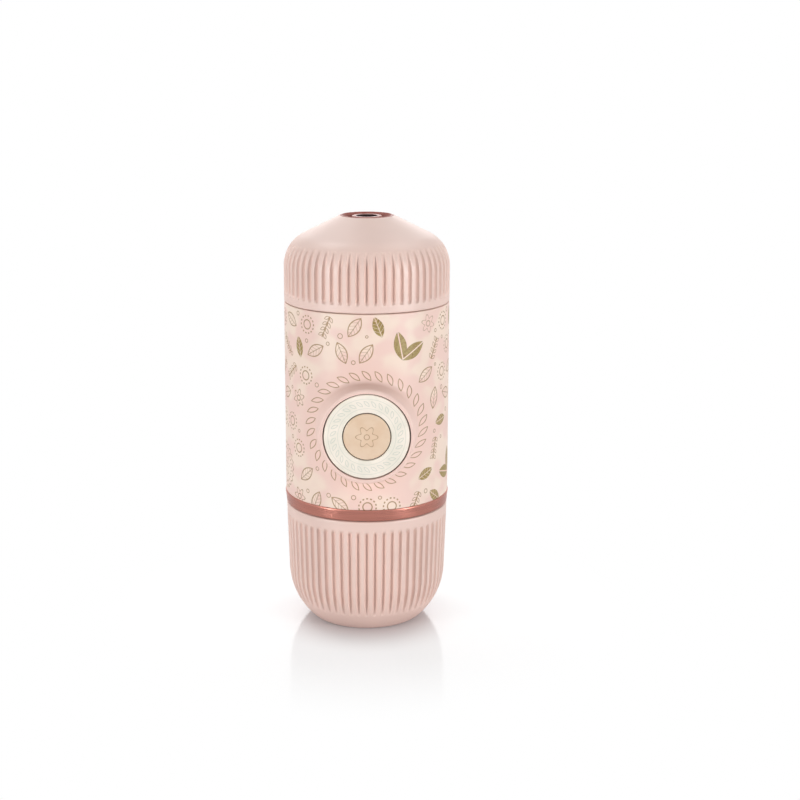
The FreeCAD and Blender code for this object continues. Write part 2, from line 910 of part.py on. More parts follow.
def make_brew_neck():
    """Upper bulkhead with the threaded neck, the shower screen's ledge and its screw boss."""
    body = new_body("brew_neck")
    ledge = neck_top() - d.screen_drop - d.screen_thickness
    spin(body, "Neck", [
        (0, brew_plate_bottom()),
        (shell_bore(), brew_plate_bottom()),
        (shell_bore(), brew_plate_top()),
        (d.neck_radius, brew_plate_top()),
        (d.neck_radius, neck_top()),
        (neck_bore(), neck_top()),
        (neck_bore(), ledge),
        (neck_bore() - d.screen_ledge, ledge),
        (neck_bore() - d.screen_ledge, brew_plate_top()),
        (d.screen_boss_radius, brew_plate_top()),
        (d.screen_boss_radius, ledge),
        (0, ledge),
    ])
    holes = [(across, depth, d.screw_radius) for across, depth in screw_pattern()]
    holes.append((0, d.outlet_offset, d.port_bore))
    extrude_circles(body, "NeckHoles", "XY_Plane", holes, brew_plate_bottom(),
                    d.brew_plate_thickness, cut=True)
    extrude_circles(body, "ScreenScrewHole", "XY_Plane", [(0, 0, d.screw_radius)],
                    ledge + d.screen_thickness - d.screen_screw_length, d.screen_screw_length, cut=True)
    return body


# Pump.

def make_pump_cylinder():
    """Pump barrel with an inlet port below and an outlet port above."""
    body = new_pump_body("pump_cylinder")
    rear = d.pump_cap_thickness
    spin_block(body, "Barrel", as_size(0), pump_outer(), rear, rear + d.pump_length)
    ports = -d.port_reach
    extrude_circles(body, "Ports", "XZ_Plane", [(0, port_station(), d.port_radius)],
                    ports, d.port_reach * 2)
    extrude_circles(body, "PortBores", "XZ_Plane", [(0, port_station(), d.port_bore)],
                    ports, d.port_reach * 2, cut=True)
    spin_block(body, "Bore", as_size(0), d.pump_bore, rear, rear + d.pump_length, cut=True)
    return body


def make_pump_cap():
    """Rear cap of the pump, with a spigot in the bore."""
    body = new_pump_body("pump_cap")
    spin(body, "Cap", [
        (0, 0),
        (pump_outer(), 0),
        (pump_outer(), d.pump_cap_thickness),
        (d.pump_bore, d.pump_cap_thickness),
        (d.pump_bore, d.pump_cap_thickness + d.pump_cap_spigot),
        (0, d.pump_cap_thickness + d.pump_cap_spigot),
    ])
    return body


def make_pump_gland():
    """Front gland of the pump, which guides the rod and holds its seal."""
    body = new_pump_body("pump_gland")
    barrel_end = d.pump_cap_thickness + d.pump_length
    rod_bore = d.rod_radius + d.running_clearance
    spin(body, "Gland", [
        (rod_bore, barrel_end - d.gland_spigot),
        (d.pump_bore, barrel_end - d.gland_spigot),
        (d.pump_bore, barrel_end),
        (pump_outer(), barrel_end),
        (pump_outer(), gland_face()),
        (d.rod_seal_radius, gland_face()),
        (d.rod_seal_radius, gland_face() - d.rod_seal_length),
        (rod_bore, gland_face() - d.rod_seal_length),
    ])
    return body


def make_rod_seal():
    """Wiper seal in the gland."""
    body = new_pump_body("rod_seal")
    spin_block(body, "RodSeal", d.rod_radius + d.running_clearance, d.rod_seal_radius,
               gland_face() - d.rod_seal_length, gland_face())
    return body


def clip_station():
    """Station of the retaining clip's rear face."""
    return knob_inside() - d.knob_hub_length - d.clip_clearance - d.clip_thickness


def seal_groove():
    """Stations of the piston seal's groove: rear and front."""
    rear = piston_front() + (d.piston_length - d.piston_seal_width) / 2
    return rear, rear + d.piston_seal_width


def make_piston_rod():
    """Piston and rod in one, with a seal groove and a clip groove."""
    body = new_pump_body("piston_rod")
    head_radius = d.pump_bore - d.piston_clearance
    groove_floor = d.pump_bore - d.piston_seal_depth
    groove_rear, groove_front = seal_groove()
    clip = clip_station()
    spin(body, "Piston", [
        (0, piston_front()),
        (head_radius, piston_front()),
        (head_radius, groove_rear),
        (groove_floor, groove_rear),
        (groove_floor, groove_front),
        (head_radius, groove_front),
        (head_radius, piston_front() + d.piston_length),
        (d.rod_radius, piston_front() + d.piston_length),
        (d.rod_radius, clip),
        (d.rod_radius - d.clip_groove, clip),
        (d.rod_radius - d.clip_groove, clip + d.clip_thickness),
        (d.rod_radius, clip + d.clip_thickness),
        (d.rod_radius, knob_inside() - d.clip_clearance),
        (0, knob_inside() - d.clip_clearance),
    ])
    return body


def make_piston_seal():
    """Seal round the piston."""
    body = new_pump_body("piston_seal")
    groove_rear, groove_front = seal_groove()
    spin_block(body, "PistonSeal", d.pump_bore - d.piston_seal_depth,
               d.pump_bore - d.running_clearance, groove_rear, groove_front)
    return body


def make_knob_clip():
    """Retaining clip on the rod, which keeps the knob's hub on it."""
    body = new_pump_body("knob_clip")
    inner = d.rod_radius - d.clip_groove
    spin_block(body, "Clip", inner, inner + d.clip_width, clip_station(),
               clip_station() + d.clip_thickness)
    return body


def make_return_spring():
    """Coil spring between the gland and the knob, pressed in."""
    body = new_pump_body("return_spring")
    rear = gland_face() + d.spring_end_gap + d.spring_wire
    front = knob_inside() - d.spring_end_gap - d.spring_wire
    sketch = new_sketch(body, "WireSection")
    draw_polygon(sketch, d.spring_radius, rear, d.spring_wire, 6)
    coil = body.newObject("PartDesign::AdditiveHelix", "Coil")
    coil.Profile = sketch
    coil.ReferenceAxis = (sketch, ["V_Axis"])
    coil.Mode = "pitch-height-angle"
    bind(coil, "Height", front - rear)
    bind(coil, "Pitch", (front - rear) / d.spring_turns)
    return body


def make_inlet_tube():
    """Straight tube from the lower bulkhead to the pump's inlet."""
    body = new_body("inlet_tube")
    bind(body, "Placement.Base.y", port_reach_back())
    top = d.pump_axis_height - pump_outer() - d.tube_end_gap
    spin(body, "InletTube", [
        (d.port_radius, socket_plate_top()),
        (tube_outer(), socket_plate_top()),
        (tube_outer(), top),
        (d.port_radius, top),
    ])
    return body


def make_outlet_tube():
    """Tube with two bends from the pump's outlet to the upper bulkhead."""
    body = new_body("outlet_tube")
    bottom = d.pump_axis_height + pump_outer() + d.tube_end_gap
    top = brew_plate_bottom()
    section = new_sketch(body, "TubeSection", "XY_Plane", bottom)
    draw_circle(section, 0, port_reach_back(), tube_outer())
    draw_circle(section, 0, port_reach_back(), d.port_radius)
    angle = d.tube_bend_angle
    sideways = d.tube_bend * (1 - cosine(angle))
    upwards = d.tube_bend * sine(angle)
    slant = (port_reach_back() - d.outlet_offset - 2 * sideways) / sine(angle)
    first = (port_reach_back(), d.pump_axis_height + d.port_reach + d.tube_straight)
    second = (first[0] - sideways, first[1] + upwards)
    third = (second[0] - slant * sine(angle), second[1] + slant * cosine(angle))
    fourth = (d.outlet_offset, third[1] + upwards)
    way = new_sketch(body, "TubeWay", "YZ_Plane")
    draw_chain(way, [
        (port_reach_back(), bottom),
        (*first, d.tube_bend),
        second,
        (*third, -d.tube_bend),
        fourth,
        (d.outlet_offset, top),
    ], closed=False)
    tube = body.newObject("PartDesign::AdditivePipe", "OutletTube")
    tube.Profile = section
    tube.Spine = way
    return body


def make_valve(label, depth, bottom):
    """Duckbill valve: a soft sleeve whose bore closes under a thin lip."""
    body = new_body(label)
    bind(body, "Placement.Base.y", depth)
    top = bottom + d.valve_length
    spin(body, label.title().replace("_", ""), [
        (0, top - d.valve_lip),
        (d.valve_bore, top - d.valve_lip),
        (d.valve_bore, bottom),
        (d.port_radius, bottom),
        (d.port_radius, top - d.valve_lip),
        (d.valve_bore, top),
        (0, top),
    ])
    return body


def make_pump_carrier():
    """Frame that carries the pump: a clamp round the barrel between two posts."""
    height = brew_plate_bottom() - socket_plate_top()
    depth = d.pump_rear_reach - d.carrier_start - d.carrier_length
    parts = []
    for side, (across, middle) in zip(("Left", "Right"), screw_pattern()):
        post = doc.addObject("Part::Box", side + "Post")
        bind(post, "Length", d.post_width)
        bind(post, "Width", d.carrier_length)
        bind(post, "Height", height)
        bind(post, "Placement.Base.x", across - d.post_width / 2)
        bind(post, "Placement.Base.y", depth)
        bind(post, "Placement.Base.z", socket_plate_top())
        parts.append(post)
    parts.append(axis_cylinder("Clamp", pump_outer() + d.carrier_wall, depth, d.carrier_length))
    frame = doc.addObject("Part::MultiFuse", "CarrierFrame")
    frame.Shapes = parts
    bores = [axis_cylinder("BarrelBore", pump_outer(), depth, d.carrier_length)]
    for across, middle in screw_pattern():
        for bottom, top in screw_spans():
            bores.append(upright_cylinder("ScrewBore", d.screw_radius, across, middle, bottom, top))
    tool = doc.addObject("Part::MultiFuse", "CarrierBores")
    tool.Shapes = bores
    carrier = doc.addObject("Part::Cut", "pump_carrier")
    carrier.Base = frame
    carrier.Tool = tool
    carrier.Label = "pump_carrier"
    return carrier


def axis_cylinder(name, radius, depth, length):
    """Level cylinder on the pump's axis that starts at a depth and runs to the rear."""
    cylinder = doc.addObject("Part::Cylinder", name)
    turned = FreeCAD.Rotation(FreeCAD.Vector(1, 0, 0), -90)
    cylinder.Placement = FreeCAD.Placement(FreeCAD.Vector(0, 0, 0), turned)
    bind(cylinder, "Placement.Base.y", depth)
    bind(cylinder, "Placement.Base.z", d.pump_axis_height)
    bind(cylinder, "Radius", radius)
    bind(cylinder, "Height", length)
    return cylinder


def upright_cylinder(name, radius, across, depth, bottom, top):
    """Upright cylinder between two heights."""
    cylinder = doc.addObject("Part::Cylinder", name)
    bind(cylinder, "Placement.Base.x", across)
    bind(cylinder, "Placement.Base.y", depth)
    bind(cylinder, "Placement.Base.z", bottom)
    bind(cylinder, "Radius", radius)
    bind(cylinder, "Height", top - bottom)
    return cylinder


def screw_spans():
    """Lowest and highest point of a lower and of an upper carrier screw's shank."""
    return [(d.socket_plate_height, d.socket_plate_height + d.screw_length),
            (brew_plate_top() - d.screw_length, brew_plate_top())]


def make_carrier_screws():
    """Four screws that hold the carrier between the two bulkheads."""
    screws = []
    for across, middle in screw_pattern():
        lower, upper = screw_spans()
        heads = [(lower[0] - d.screw_head_height, lower[0]), (upper[1], upper[1] + d.screw_head_height)]
        for shank, head in zip((lower, upper), heads):
            pieces = [
                upright_cylinder("Shank", d.screw_radius, across, middle, *shank),
                upright_cylinder("Head", d.screw_head_radius, across, middle, *head),
            ]
            screw = doc.addObject("Part::MultiFuse", "Screw")
            screw.Shapes = pieces
            screws.append(screw)
    group = doc.addObject("Part::Compound", "carrier_screws")
    group.Links = screws
    group.Label = "carrier_screws"
    return group


# Knob.

def make_knob_shell():
    """Knob: a cup with a long skirt, a hub for the rod and a seat for the centre disc."""
    body = new_pump_body("knob_shell")
    front = knob_face() - d.knob_ring_thickness
    rear = knob_face() - d.knob_skirt_length
    inside = knob_inside()
    hub_bore = d.rod_radius + d.running_clearance
    spin(body, "Knob", [
        (d.knob_radius - d.knob_wall, rear),
        (d.knob_radius, rear),
        (d.knob_radius, front),
        (0, front),
        (0, inside),
        (hub_bore, inside),
        (hub_bore, inside - d.knob_hub_length),
        (hub_bore + d.knob_hub_wall, inside - d.knob_hub_length),
        (hub_bore + d.knob_hub_wall, inside),
        (d.knob_radius - d.knob_wall, inside),
    ])
    return body


def make_knob_ring():
    """Pale ring on the knob's face, with a low inner lip."""
    body = new_pump_body("knob_ring")
    rear = knob_face() - d.knob_ring_thickness
    inner = d.knob_disc_radius + d.knob_disc_gap
    lip = d.knob_ring_lip
    spin(body, "Ring", [
        (inner, rear),
        (d.knob_radius, rear),
        (d.knob_radius, knob_face() - lip),
        (d.knob_radius - lip, knob_face()),
        (inner + lip, knob_face()),
        (inner, knob_face() - lip),
    ])
    return body


def make_knob_disc():
    """Slightly crowned disc in the middle of the knob."""
    body = new_pump_body("knob_disc")
    rear = knob_face() - d.knob_ring_thickness
    radius = d.knob_disc_radius
    crown = d.knob_disc_crown
    dome = (radius * radius + crown * crown) / (2 * crown)
    spin(body, "Disc", [
        (0, rear),
        (radius, rear),
        (radius, knob_face(), dome),
        (0, knob_face() + crown),
    ])
    return body


# Brewing chamber and outlet head.

def make_basket_gasket():
    """Silicone gasket on the neck's rim."""
    body = new_body("basket_gasket")
    spin_block(body, "Gasket", neck_bore(), d.flange_radius, neck_top(),
               neck_top() + d.gasket_thickness)
    return body


def perforate(body, name, bottom, thickness):
    """Drills two circles of holes."""
    drilled = extrude_circles(body, name, "XY_Plane",
                              [(circle, 0, d.hole_radius) for circle in
                               (d.inner_hole_circle, d.outer_hole_circle)],
                              bottom, thickness, cut=True, sides=6)
    polar(body, name + "Pattern", [drilled], d.hole_count)


def make_shower_screen():
    """Perforated steel screen, screwed to the neck's boss."""
    body = new_body("shower_screen")
    bottom = neck_top() - d.screen_drop - d.screen_thickness
    top = neck_top() - d.screen_drop
    spin_block(body, "Screen", d.screw_radius, neck_bore() - d.screen_clearance, bottom, top)
    perforate(body, "ScreenHoles", bottom, d.screen_thickness)
    return body


def make_screen_screw():
    """Screw through the middle of the shower screen."""
    body = new_body("screen_screw")
    seat = neck_top() - d.screen_drop
    spin(body, "ScreenScrew", [
        (0, seat - d.screen_screw_length),
        (d.screw_radius, seat - d.screen_screw_length),
        (d.screw_radius, seat),
        (d.screen_screw_head, seat),
        (d.screen_screw_head, seat + d.screen_screw_head_height),
        (0, seat + d.screen_screw_head_height),
    ])
    return body


def make_filter_basket():
    """Steel coffee basket, mouth down, with a flange and a perforated floor on top."""
    body = new_body("filter_basket")
    bottom = flange_bottom()
    top = basket_top()
    inner = d.basket_radius - d.basket_wall
    spin(body, "Basket", [
        (inner, bottom),
        (d.flange_radius, bottom),
        (d.flange_radius, bottom + d.flange_thickness),
        (d.basket_radius, bottom + d.flange_thickness),
        (d.basket_radius, top),
        (0, top),
        (0, top - d.basket_wall),
        (inner, top - d.basket_wall),
    ])
    perforate(body, "BasketHoles", top - d.basket_wall, d.basket_wall)
    return body


def make_basket_seat_ring():
    """Silicone ring in the head that presses on the basket's flange."""
    body = new_body("basket_seat_ring")
    spin_block(body, "SeatRing", chamber_radius(), d.flange_radius,
               seat_ring_bottom(), seat_ring_bottom() + d.seat_ring_thickness)
    return body


def make_head_core():
    """Inner part of the head: threaded bore, basket chamber and funnel up to the spout."""
    body = new_body("head_core")
    bottom = head_bottom() + d.core_start
    chamber = chamber_radius()
    wall = chamber + d.core_wall
    inner_eave = basket_top() + d.seat_gap * 2
    outer_eave = head_top() - cone_drop(wall) - head_roof_drop()
    collar_top = core_ledge() + d.core_wall
    land = insert_bottom()
    spin(body, "Core", [
        (core_bore(), bottom),
        (head_bore(), bottom),
        (head_bore(), collar_top),
        (wall, collar_top),
        (wall, outer_eave),
        (d.head_rim_radius, land),
        (d.spout_bore, land),
        (d.spout_bore, land - d.core_wall),
        (chamber, inner_eave),
        (chamber, core_ledge()),
        (core_bore(), core_ledge()),
    ])
    return body


def head_roof_drop():
    """How far below the head's cone the funnel's outside stays: the wall and a small gap."""
    return (d.head_wall + d.seat_gap) / sine(d.head_shoulder_angle)


def make_outlet_head():
    """Outlet head: a fluted dome with a straight side, a round shoulder and a shallow cone."""
    body = new_body("outlet_head")
    bottom = head_bottom()
    ease = d.body_edge_break
    turn = d.head_shoulder_angle
    centre = shoulder_centre()
    level = shoulder_height()
    arc = d.head_shoulder_arc
    inner_arc = arc - d.head_wall
    inner_rim = head_top() - d.head_wall / sine(turn)
    spin(body, "Dome", [
        (head_bore(), bottom),
        (d.body_radius - ease, bottom),
        (d.body_radius, bottom + ease),
        (d.body_radius, level, arc),
        (centre + arc * cosine(turn), level + arc * sine(turn)),
        (d.head_rim_radius, head_top()),
        (d.head_rim_radius, inner_rim),
        (centre + inner_arc * cosine(turn), level + inner_arc * sine(turn), -inner_arc),
        (head_bore(), level),
    ])
    entry = (d.body_radius, bottom + d.head_flute_start)
    leave = (d.body_radius - d.head_flute_arc * (1 - cosine(d.head_flute_angle)),
             level + d.head_flute_arc * sine(d.head_flute_angle))
    flute(body, "HeadFlute", entry, as_size(0), [
        entry,
        (d.body_radius, level, d.head_flute_arc),
        leave,
    ])
    return body


def make_spout_insert():
    """Conical dish in the top of the head with a raised ring round the spout's bore."""
    body = new_body("spout_insert")
    top = head_top()
    floor = top - d.spout_floor_depth
    ring_top = floor + d.spout_ring_height
    spin(body, "Dish", [
        (d.spout_bore, insert_bottom()),
        (d.head_rim_radius, insert_bottom()),
        (d.head_rim_radius, top),
        (d.head_rim_radius - d.spout_edge, top),
        (d.spout_cone_radius, floor),
        (d.spout_ring_radius, floor),
        (d.spout_ring_radius, ring_top),
        (d.spout_ring_inner, ring_top),
        (d.spout_bore, floor),
    ])
    return body


def make_spout_nozzle():
    """Dark tube in the spout's bore."""
    body = new_body("spout_nozzle")
    bottom = insert_bottom() - d.core_wall / 2
    spin_block(body, "Nozzle", d.spout_bore - d.nozzle_wall, d.spout_bore,
               bottom, bottom + d.nozzle_height)
    return body


def main():
    """Makes every sub-part, checks them all and writes one file each."""
    subparts = [
        make_cup(),
        make_water_tank(),
        make_cup_grip_ring(),
        make_tank_seal(),
        make_accent_ring(),
        make_tank_socket(),
        make_body_shell(),
        make_knob_guide(),
        make_brew_neck(),
        make_pump_cylinder(),
        make_pump_cap(),
        make_pump_gland(),
        make_rod_seal(),
        make_piston_rod(),
        make_piston_seal(),
        make_knob_clip(),
        make_return_spring(),
        make_inlet_tube(),
        make_outlet_tube(),
        make_valve("inlet_valve", port_reach_back(), socket_plate_top()),
        make_valve("outlet_valve", d.outlet_offset, brew_plate_bottom() - d.valve_length),
        make_pump_carrier(),
        make_carrier_screws(),
        make_knob_shell(),
        make_knob_ring(),
        make_knob_disc(),
        make_basket_gasket(),
        make_shower_screen(),
        make_screen_screw(),
        make_filter_basket(),
        make_basket_seat_ring(),
        make_head_core(),
        make_outlet_head(),
        make_spout_insert(),
        make_spout_nozzle(),
    ]
    doc.recompute()
    failed = [thing.Name for thing in doc.Objects if {"Invalid", "Error"} & set(thing.State)]
    if failed:
        raise RuntimeError(f"these features failed: {failed}")
    for subpart in subparts:
        if subpart.Shape.isNull() or not subpart.Shape.isValid() or not subpart.Shape.Solids:
            raise RuntimeError(f"{subpart.Label} has no valid shape")
    os.makedirs("parts", exist_ok=True)
    for subpart in subparts:
        subpart.Shape.exportStep(f"parts/{subpart.Label}.step")
        print(f"{subpart.Label}: {subpart.Shape.Volume:.1f} mm3, {len(subpart.Shape.Solids)} solid(s)")


main()
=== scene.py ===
"""Handheld manual espresso maker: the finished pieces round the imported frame.

Lengths are in millimetres and angles in degrees until they reach a mesh, which is in metres and
in the frame's axes: the foot of the cup is at the origin, +Z is up and the pump knob faces -Y.
"""
import json
import math

import bmesh
import bpy
import numpy as np
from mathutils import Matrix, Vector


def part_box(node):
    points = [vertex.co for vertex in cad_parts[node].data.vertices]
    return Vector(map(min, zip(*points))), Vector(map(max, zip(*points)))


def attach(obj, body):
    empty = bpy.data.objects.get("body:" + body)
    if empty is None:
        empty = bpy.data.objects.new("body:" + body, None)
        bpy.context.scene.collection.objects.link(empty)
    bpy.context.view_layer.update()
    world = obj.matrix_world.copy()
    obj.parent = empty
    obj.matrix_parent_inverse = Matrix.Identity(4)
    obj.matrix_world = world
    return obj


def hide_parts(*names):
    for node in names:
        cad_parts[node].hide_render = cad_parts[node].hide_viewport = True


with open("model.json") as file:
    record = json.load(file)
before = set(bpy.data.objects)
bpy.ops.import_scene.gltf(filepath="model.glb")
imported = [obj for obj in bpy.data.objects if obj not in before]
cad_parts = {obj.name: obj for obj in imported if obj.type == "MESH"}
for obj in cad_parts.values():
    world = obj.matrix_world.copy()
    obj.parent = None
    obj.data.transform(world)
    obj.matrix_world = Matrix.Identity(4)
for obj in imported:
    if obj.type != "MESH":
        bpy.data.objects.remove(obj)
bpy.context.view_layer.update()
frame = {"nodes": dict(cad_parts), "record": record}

MM = 0.001
TURN = 2 * math.pi
norm = np.linalg.norm
scene = bpy.context.scene

# Shared sizes of the object, in millimetres
BODY_RADIUS = 31.0
AXIS_HEIGHT = 80.6
KNOB_RADIUS = 15.5
KNOB_HOLE = 15.9
BOSS_RIM = 17.5
INNER_RADIUS = 29.0
SPOUT_RIM = 9.84
CONE_FALL = 0.4964
NOZZLE_RADIUS = 3.7
FLUTES = 60
FLUTE_DEPTH = 1.15
FLUTE_HALF_WIDTH = 0.28
RIB_FALL = 0.07
THREAD_LEAD = 12.0
THREAD_STARTS = 3
THREAD_DEPTH = 0.7
PRINT_SOFT = 0.08


def span(node):
    """Lowest and highest height of a frame node, in millimetres."""
    low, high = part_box(node)
    return low.z / MM, high.z / MM


def depth_span(node):
    """Front and rear of a frame node along the pump's axis, as millimetres towards the front."""
    low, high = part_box(node)
    return -high.y / MM, -low.y / MM


# --- Sections, as chains of (radius, height) points ---

def arc(centre, radius, first, last, steps):
    """Points of a circular arc between two angles in degrees, measured from the outward axis."""
    angles = np.radians(np.linspace(first, last, steps + 1))
    return np.array(centre) + radius * np.column_stack([np.cos(angles), np.sin(angles)])


def eased(corners):
    """Rounds the corners of a chain.

    A corner is (radius, height) or (radius, height, ease). An eased corner becomes an arc that is
    tangent to both of its edges, with one more point a little way off at each side, which keeps
    the flat faces flat when they are shaded smooth. The ends of an open chain have no ease.
    """
    steps, support = 4, 2.0
    chain = []
    for place, corner in enumerate(corners):
        here = np.array(corner[:2], float)
        if len(corner) < 3:
            chain.append(here)
            continue
        before = np.array(corners[place - 1][:2], float) - here
        after = np.array(corners[(place + 1) % len(corners)][:2], float) - here
        room = 0.45 * min(norm(before), norm(after))
        before /= norm(before)
        after /= norm(after)
        half = 0.5 * math.acos(np.clip(before @ after, -1, 1))
        reach = min(corner[2] / math.tan(half), room)
        supported = support * reach < room * 2
        if supported:
            chain.append(here + before * reach * support)
        bisector = (before + after) / norm(before + after)
        centre = here + bisector * reach / math.cos(half)
        start = here + before * reach - centre
        sweep = math.pi - 2 * half
        hand = np.sign(before[0] * after[1] - before[1] * after[0])
        for part in np.linspace(0, -hand * sweep, steps + 1):
            swing = np.array([[math.cos(part), -math.sin(part)], [math.sin(part), math.cos(part)]])
            chain.append(centre + swing @ start)
        if supported:
            chain.append(here + after * reach * support)
    return np.array(chain)


def fine(chain, step, closed=False):
    """Divides the edges of a chain so that none is longer than step."""
    chain = np.array(chain, float)
    ends = chain[:1] if closed else chain[-1:]
    following = np.concatenate([chain[1:], ends])
    pieces = []
    for first, last in zip(chain, following):
        parts = max(1, math.ceil(norm(last - first) / step))
        pieces.append(first + (last - first) * np.linspace(0, 1, parts, endpoint=False)[:, None])
    return np.concatenate(pieces)


def joined(*chains):
    """Puts chains end to end and drops points that repeat."""
    chain = np.concatenate(chains)
    apart = norm(np.diff(chain, axis=0), axis=1) > 1e-6
    return chain[np.concatenate([[True], apart])]


# --- Meshes ---

def piece(name, points, faces, material, smooth_angle=40):
    """Makes a piece from arrays of points and four-sided faces, with doubled points merged."""
    mesh = bpy.data.meshes.new(name)
    mesh.from_pydata(points.reshape(-1, 3), [], faces)
    solid = bmesh.new()
    solid.from_mesh(mesh)
    bmesh.ops.remove_doubles(solid, verts=solid.verts, dist=2e-6)
    bmesh.ops.dissolve_degenerate(solid, dist=1e-7, edges=solid.edges)
    bmesh.ops.recalc_face_normals(solid, faces=solid.faces)
    solid.to_mesh(mesh)
    solid.free()
    mesh.shade_smooth()
    mesh.set_sharp_from_angle(angle=math.radians(smooth_angle))
    mesh.materials.append(material)
    obj = bpy.data.objects.new(name, mesh)
    scene.collection.objects.link(obj)
    return obj


def grid_faces(rows, columns, closed, keep=None):
    """Corner numbers of a grid's quads. Its columns go round, and so do its rows if closed."""
    row = np.arange(rows if closed else rows - 1)
    row, column = np.meshgrid(row, np.arange(columns), indexing="ij")
    if keep is not None:
        row, column = row[keep], column[keep]
    row, column = row.ravel(), column.ravel()
    row_next, column_next = (row + 1) % rows, (column + 1) % columns
    quads = [row * columns + column, row * columns + column_next,
             row_next * columns + column_next, row_next * columns + column]
    return np.column_stack(quads).tolist()


def unit(steps):
    """Steps brought to a length of one."""
    return steps / np.maximum(norm(steps, axis=1), 1e-9)[:, None]


def turned(name, chain, material, columns=180, carve=None, closed=True, facing=False, angles=None):
    """A turned piece: the profile goes round the upright axis, or round the pump's axis.

    Point (r, h) of the profile at angle a is (r sin a, -r cos a, h). carve(angle, radius, height,
    outward) gives how deep the surface is cut there, along the profile's own normal.
    With facing, heights run along the pump's axis towards the front instead.
    """
    if angles is None:
        angles = np.arange(columns) * TURN / columns
    ahead = np.roll(chain, -1, axis=0) - chain
    behind = chain - np.roll(chain, 1, axis=0)
    if not closed:
        ahead[-1] = behind[-1]
        behind[0] = ahead[0]
    along = unit(unit(ahead) + unit(behind))
    normal = np.column_stack([along[:, 1], -along[:, 0]])
    angle = np.broadcast_to(angles, (len(chain), len(angles)))
    radius = np.broadcast_to(chain[:, 0:1], angle.shape)
    height = np.broadcast_to(chain[:, 1:2], angle.shape)
    if carve is not None:
        cut = carve(angle, radius, height, normal[:, 0:1])
        radius = radius - cut * normal[:, 0:1]
        height = height - cut * normal[:, 1:2]
    if facing:
        points = [radius * np.sin(angle), -height, AXIS_HEIGHT + radius * np.cos(angle)]
    else:
        points = [radius * np.sin(angle), -radius * np.cos(angle), height]
    faces = grid_faces(len(chain), len(angles), closed)
    return piece(name, np.stack(points, axis=-1) * MM, faces, material)


def smooth_step(value, low, high):
    """0 below low, 1 above high and an S-shaped rise between."""
    part = np.clip((value - low) / (high - low), 0, 1)
    return part * part * (3 - 2 * part)


def thread(radius_at, low, high, outside=True):
    """Carving for a thread of several starts.

    A valley follows the helix that climbs one lead each turn. Its section is a flattened cosine,
    and it fades out at both ends of the threaded stretch.
    """
    pitch, run_out = THREAD_LEAD / THREAD_STARTS, 1.2

    def carve(angle, radius, height, outward):
        phase = height / pitch - angle * THREAD_STARTS / TURN
        section = smooth_step(np.cos(TURN * phase), -0.35, 0.55)
        rise = smooth_step(height, low, low + run_out)
        fall = smooth_step(height, high - run_out, high)
        facing = outward > 0.5 if outside else outward < -0.5
        facing = facing & (np.abs(radius - radius_at) < 0.05)
        return THREAD_DEPTH * section * rise * (1 - fall) * facing

    return carve


def flute_angles():
    """Angles of the columns of a fluted wall, closer together in the grooves than on the ribs."""
    half = np.array([0.085, 0.165, 0.225, 0.285, 0.39])
    share = np.concatenate([-half[::-1], [0], half, [0.5]])
    return ((np.arange(FLUTES)[:, None] + share) * TURN / FLUTES).ravel()


def fluting(low, low_fade, high, high_fade):
    """Carving for the flutes: a hollow groove between rounded ribs, one at every pitch.

    Across, the depth is a parabola inside the groove, and the ribs fall away a little from their
    crowns. Along, it rises over low_fade at the bottom and falls over high_fade at the top.
    """

    def carve(angle, _, height, outward):
        pitch = TURN / FLUTES
        share = np.abs((angle / pitch + 0.5) % 1 - 0.5)
        section = np.clip(1 - (share / FLUTE_HALF_WIDTH) ** 2, 0, 1)
        section = section + RIB_FALL * np.cos(math.pi * share) ** 2
        rise = np.sqrt(np.clip((height - low) / low_fade, 0, 1))
        fall = np.sqrt(np.clip((high - height) / high_fade, 0, 1))
        return FLUTE_DEPTH * section * rise * fall * (outward > 0.2)

    return carve


# --- Materials ---

def paint(red, green, blue):
    """A colour given as 0 to 255 screen values, in the linear values that shaders use."""
    screen = np.array([red, green, blue]) / 255
    linear = np.where(screen <= 0.04045, screen / 12.92, ((screen + 0.055) / 1.055) ** 2.4)
    return (*linear.tolist(), 1.0)


def tinted(colour, share):
    """A colour made darker or lighter by a share, and no lighter than white."""
    return (*[min(1.0, channel * share) for channel in colour[:3]], 1.0)


class Value:
    """A socket that carries a number, so that shader maths can be written as sums."""

    def __init__(self, finish, socket):
        self.finish = finish
        self.socket = socket

    def maths(self, operation, *others):
        """Adds one Math node on this value and the others."""
        inputs = dict(enumerate((self, *others)))
        return self.finish.node("ShaderNodeMath", {"operation": operation}, inputs)

    def __add__(self, other):
        return self.maths("ADD", other)

    __radd__ = __add__

    def __sub__(self, other):
        return self.maths("SUBTRACT", other)

    def __rsub__(self, other):
        return (self * -1).maths("ADD", other)

    def __mul__(self, other):
        return self.maths("MULTIPLY", other)

    __rmul__ = __mul__

    def __truediv__(self, other):
        return self.maths("DIVIDE", other)

    def __abs__(self):
        return self.maths("ABSOLUTE")

    def __gt__(self, other):
        return self.maths("GREATER_THAN", other)

    def __lt__(self, other):
        return self.maths("LESS_THAN", other)

    def ramp(self, low, high):
        """0 at low, 1 at high and smooth between."""
        settings = {"interpolation_type": "SMOOTHSTEP"}
        inputs = {"Value": self, "From Min": low, "From Max": high}
        return self.finish.node("ShaderNodeMapRange", settings, inputs)

    def line(self, half_width):
        """1 where this value is within half_width of zero."""
        return 1 - abs(self).ramp(half_width - PRINT_SOFT, half_width + PRINT_SOFT)

    def inside(self, soft=PRINT_SOFT):
        """1 where this value is above zero."""
        return self.ramp(-soft, soft)

    def clear(self, other):
        """This mask where the other mask is off."""
        return self * (1 - other)


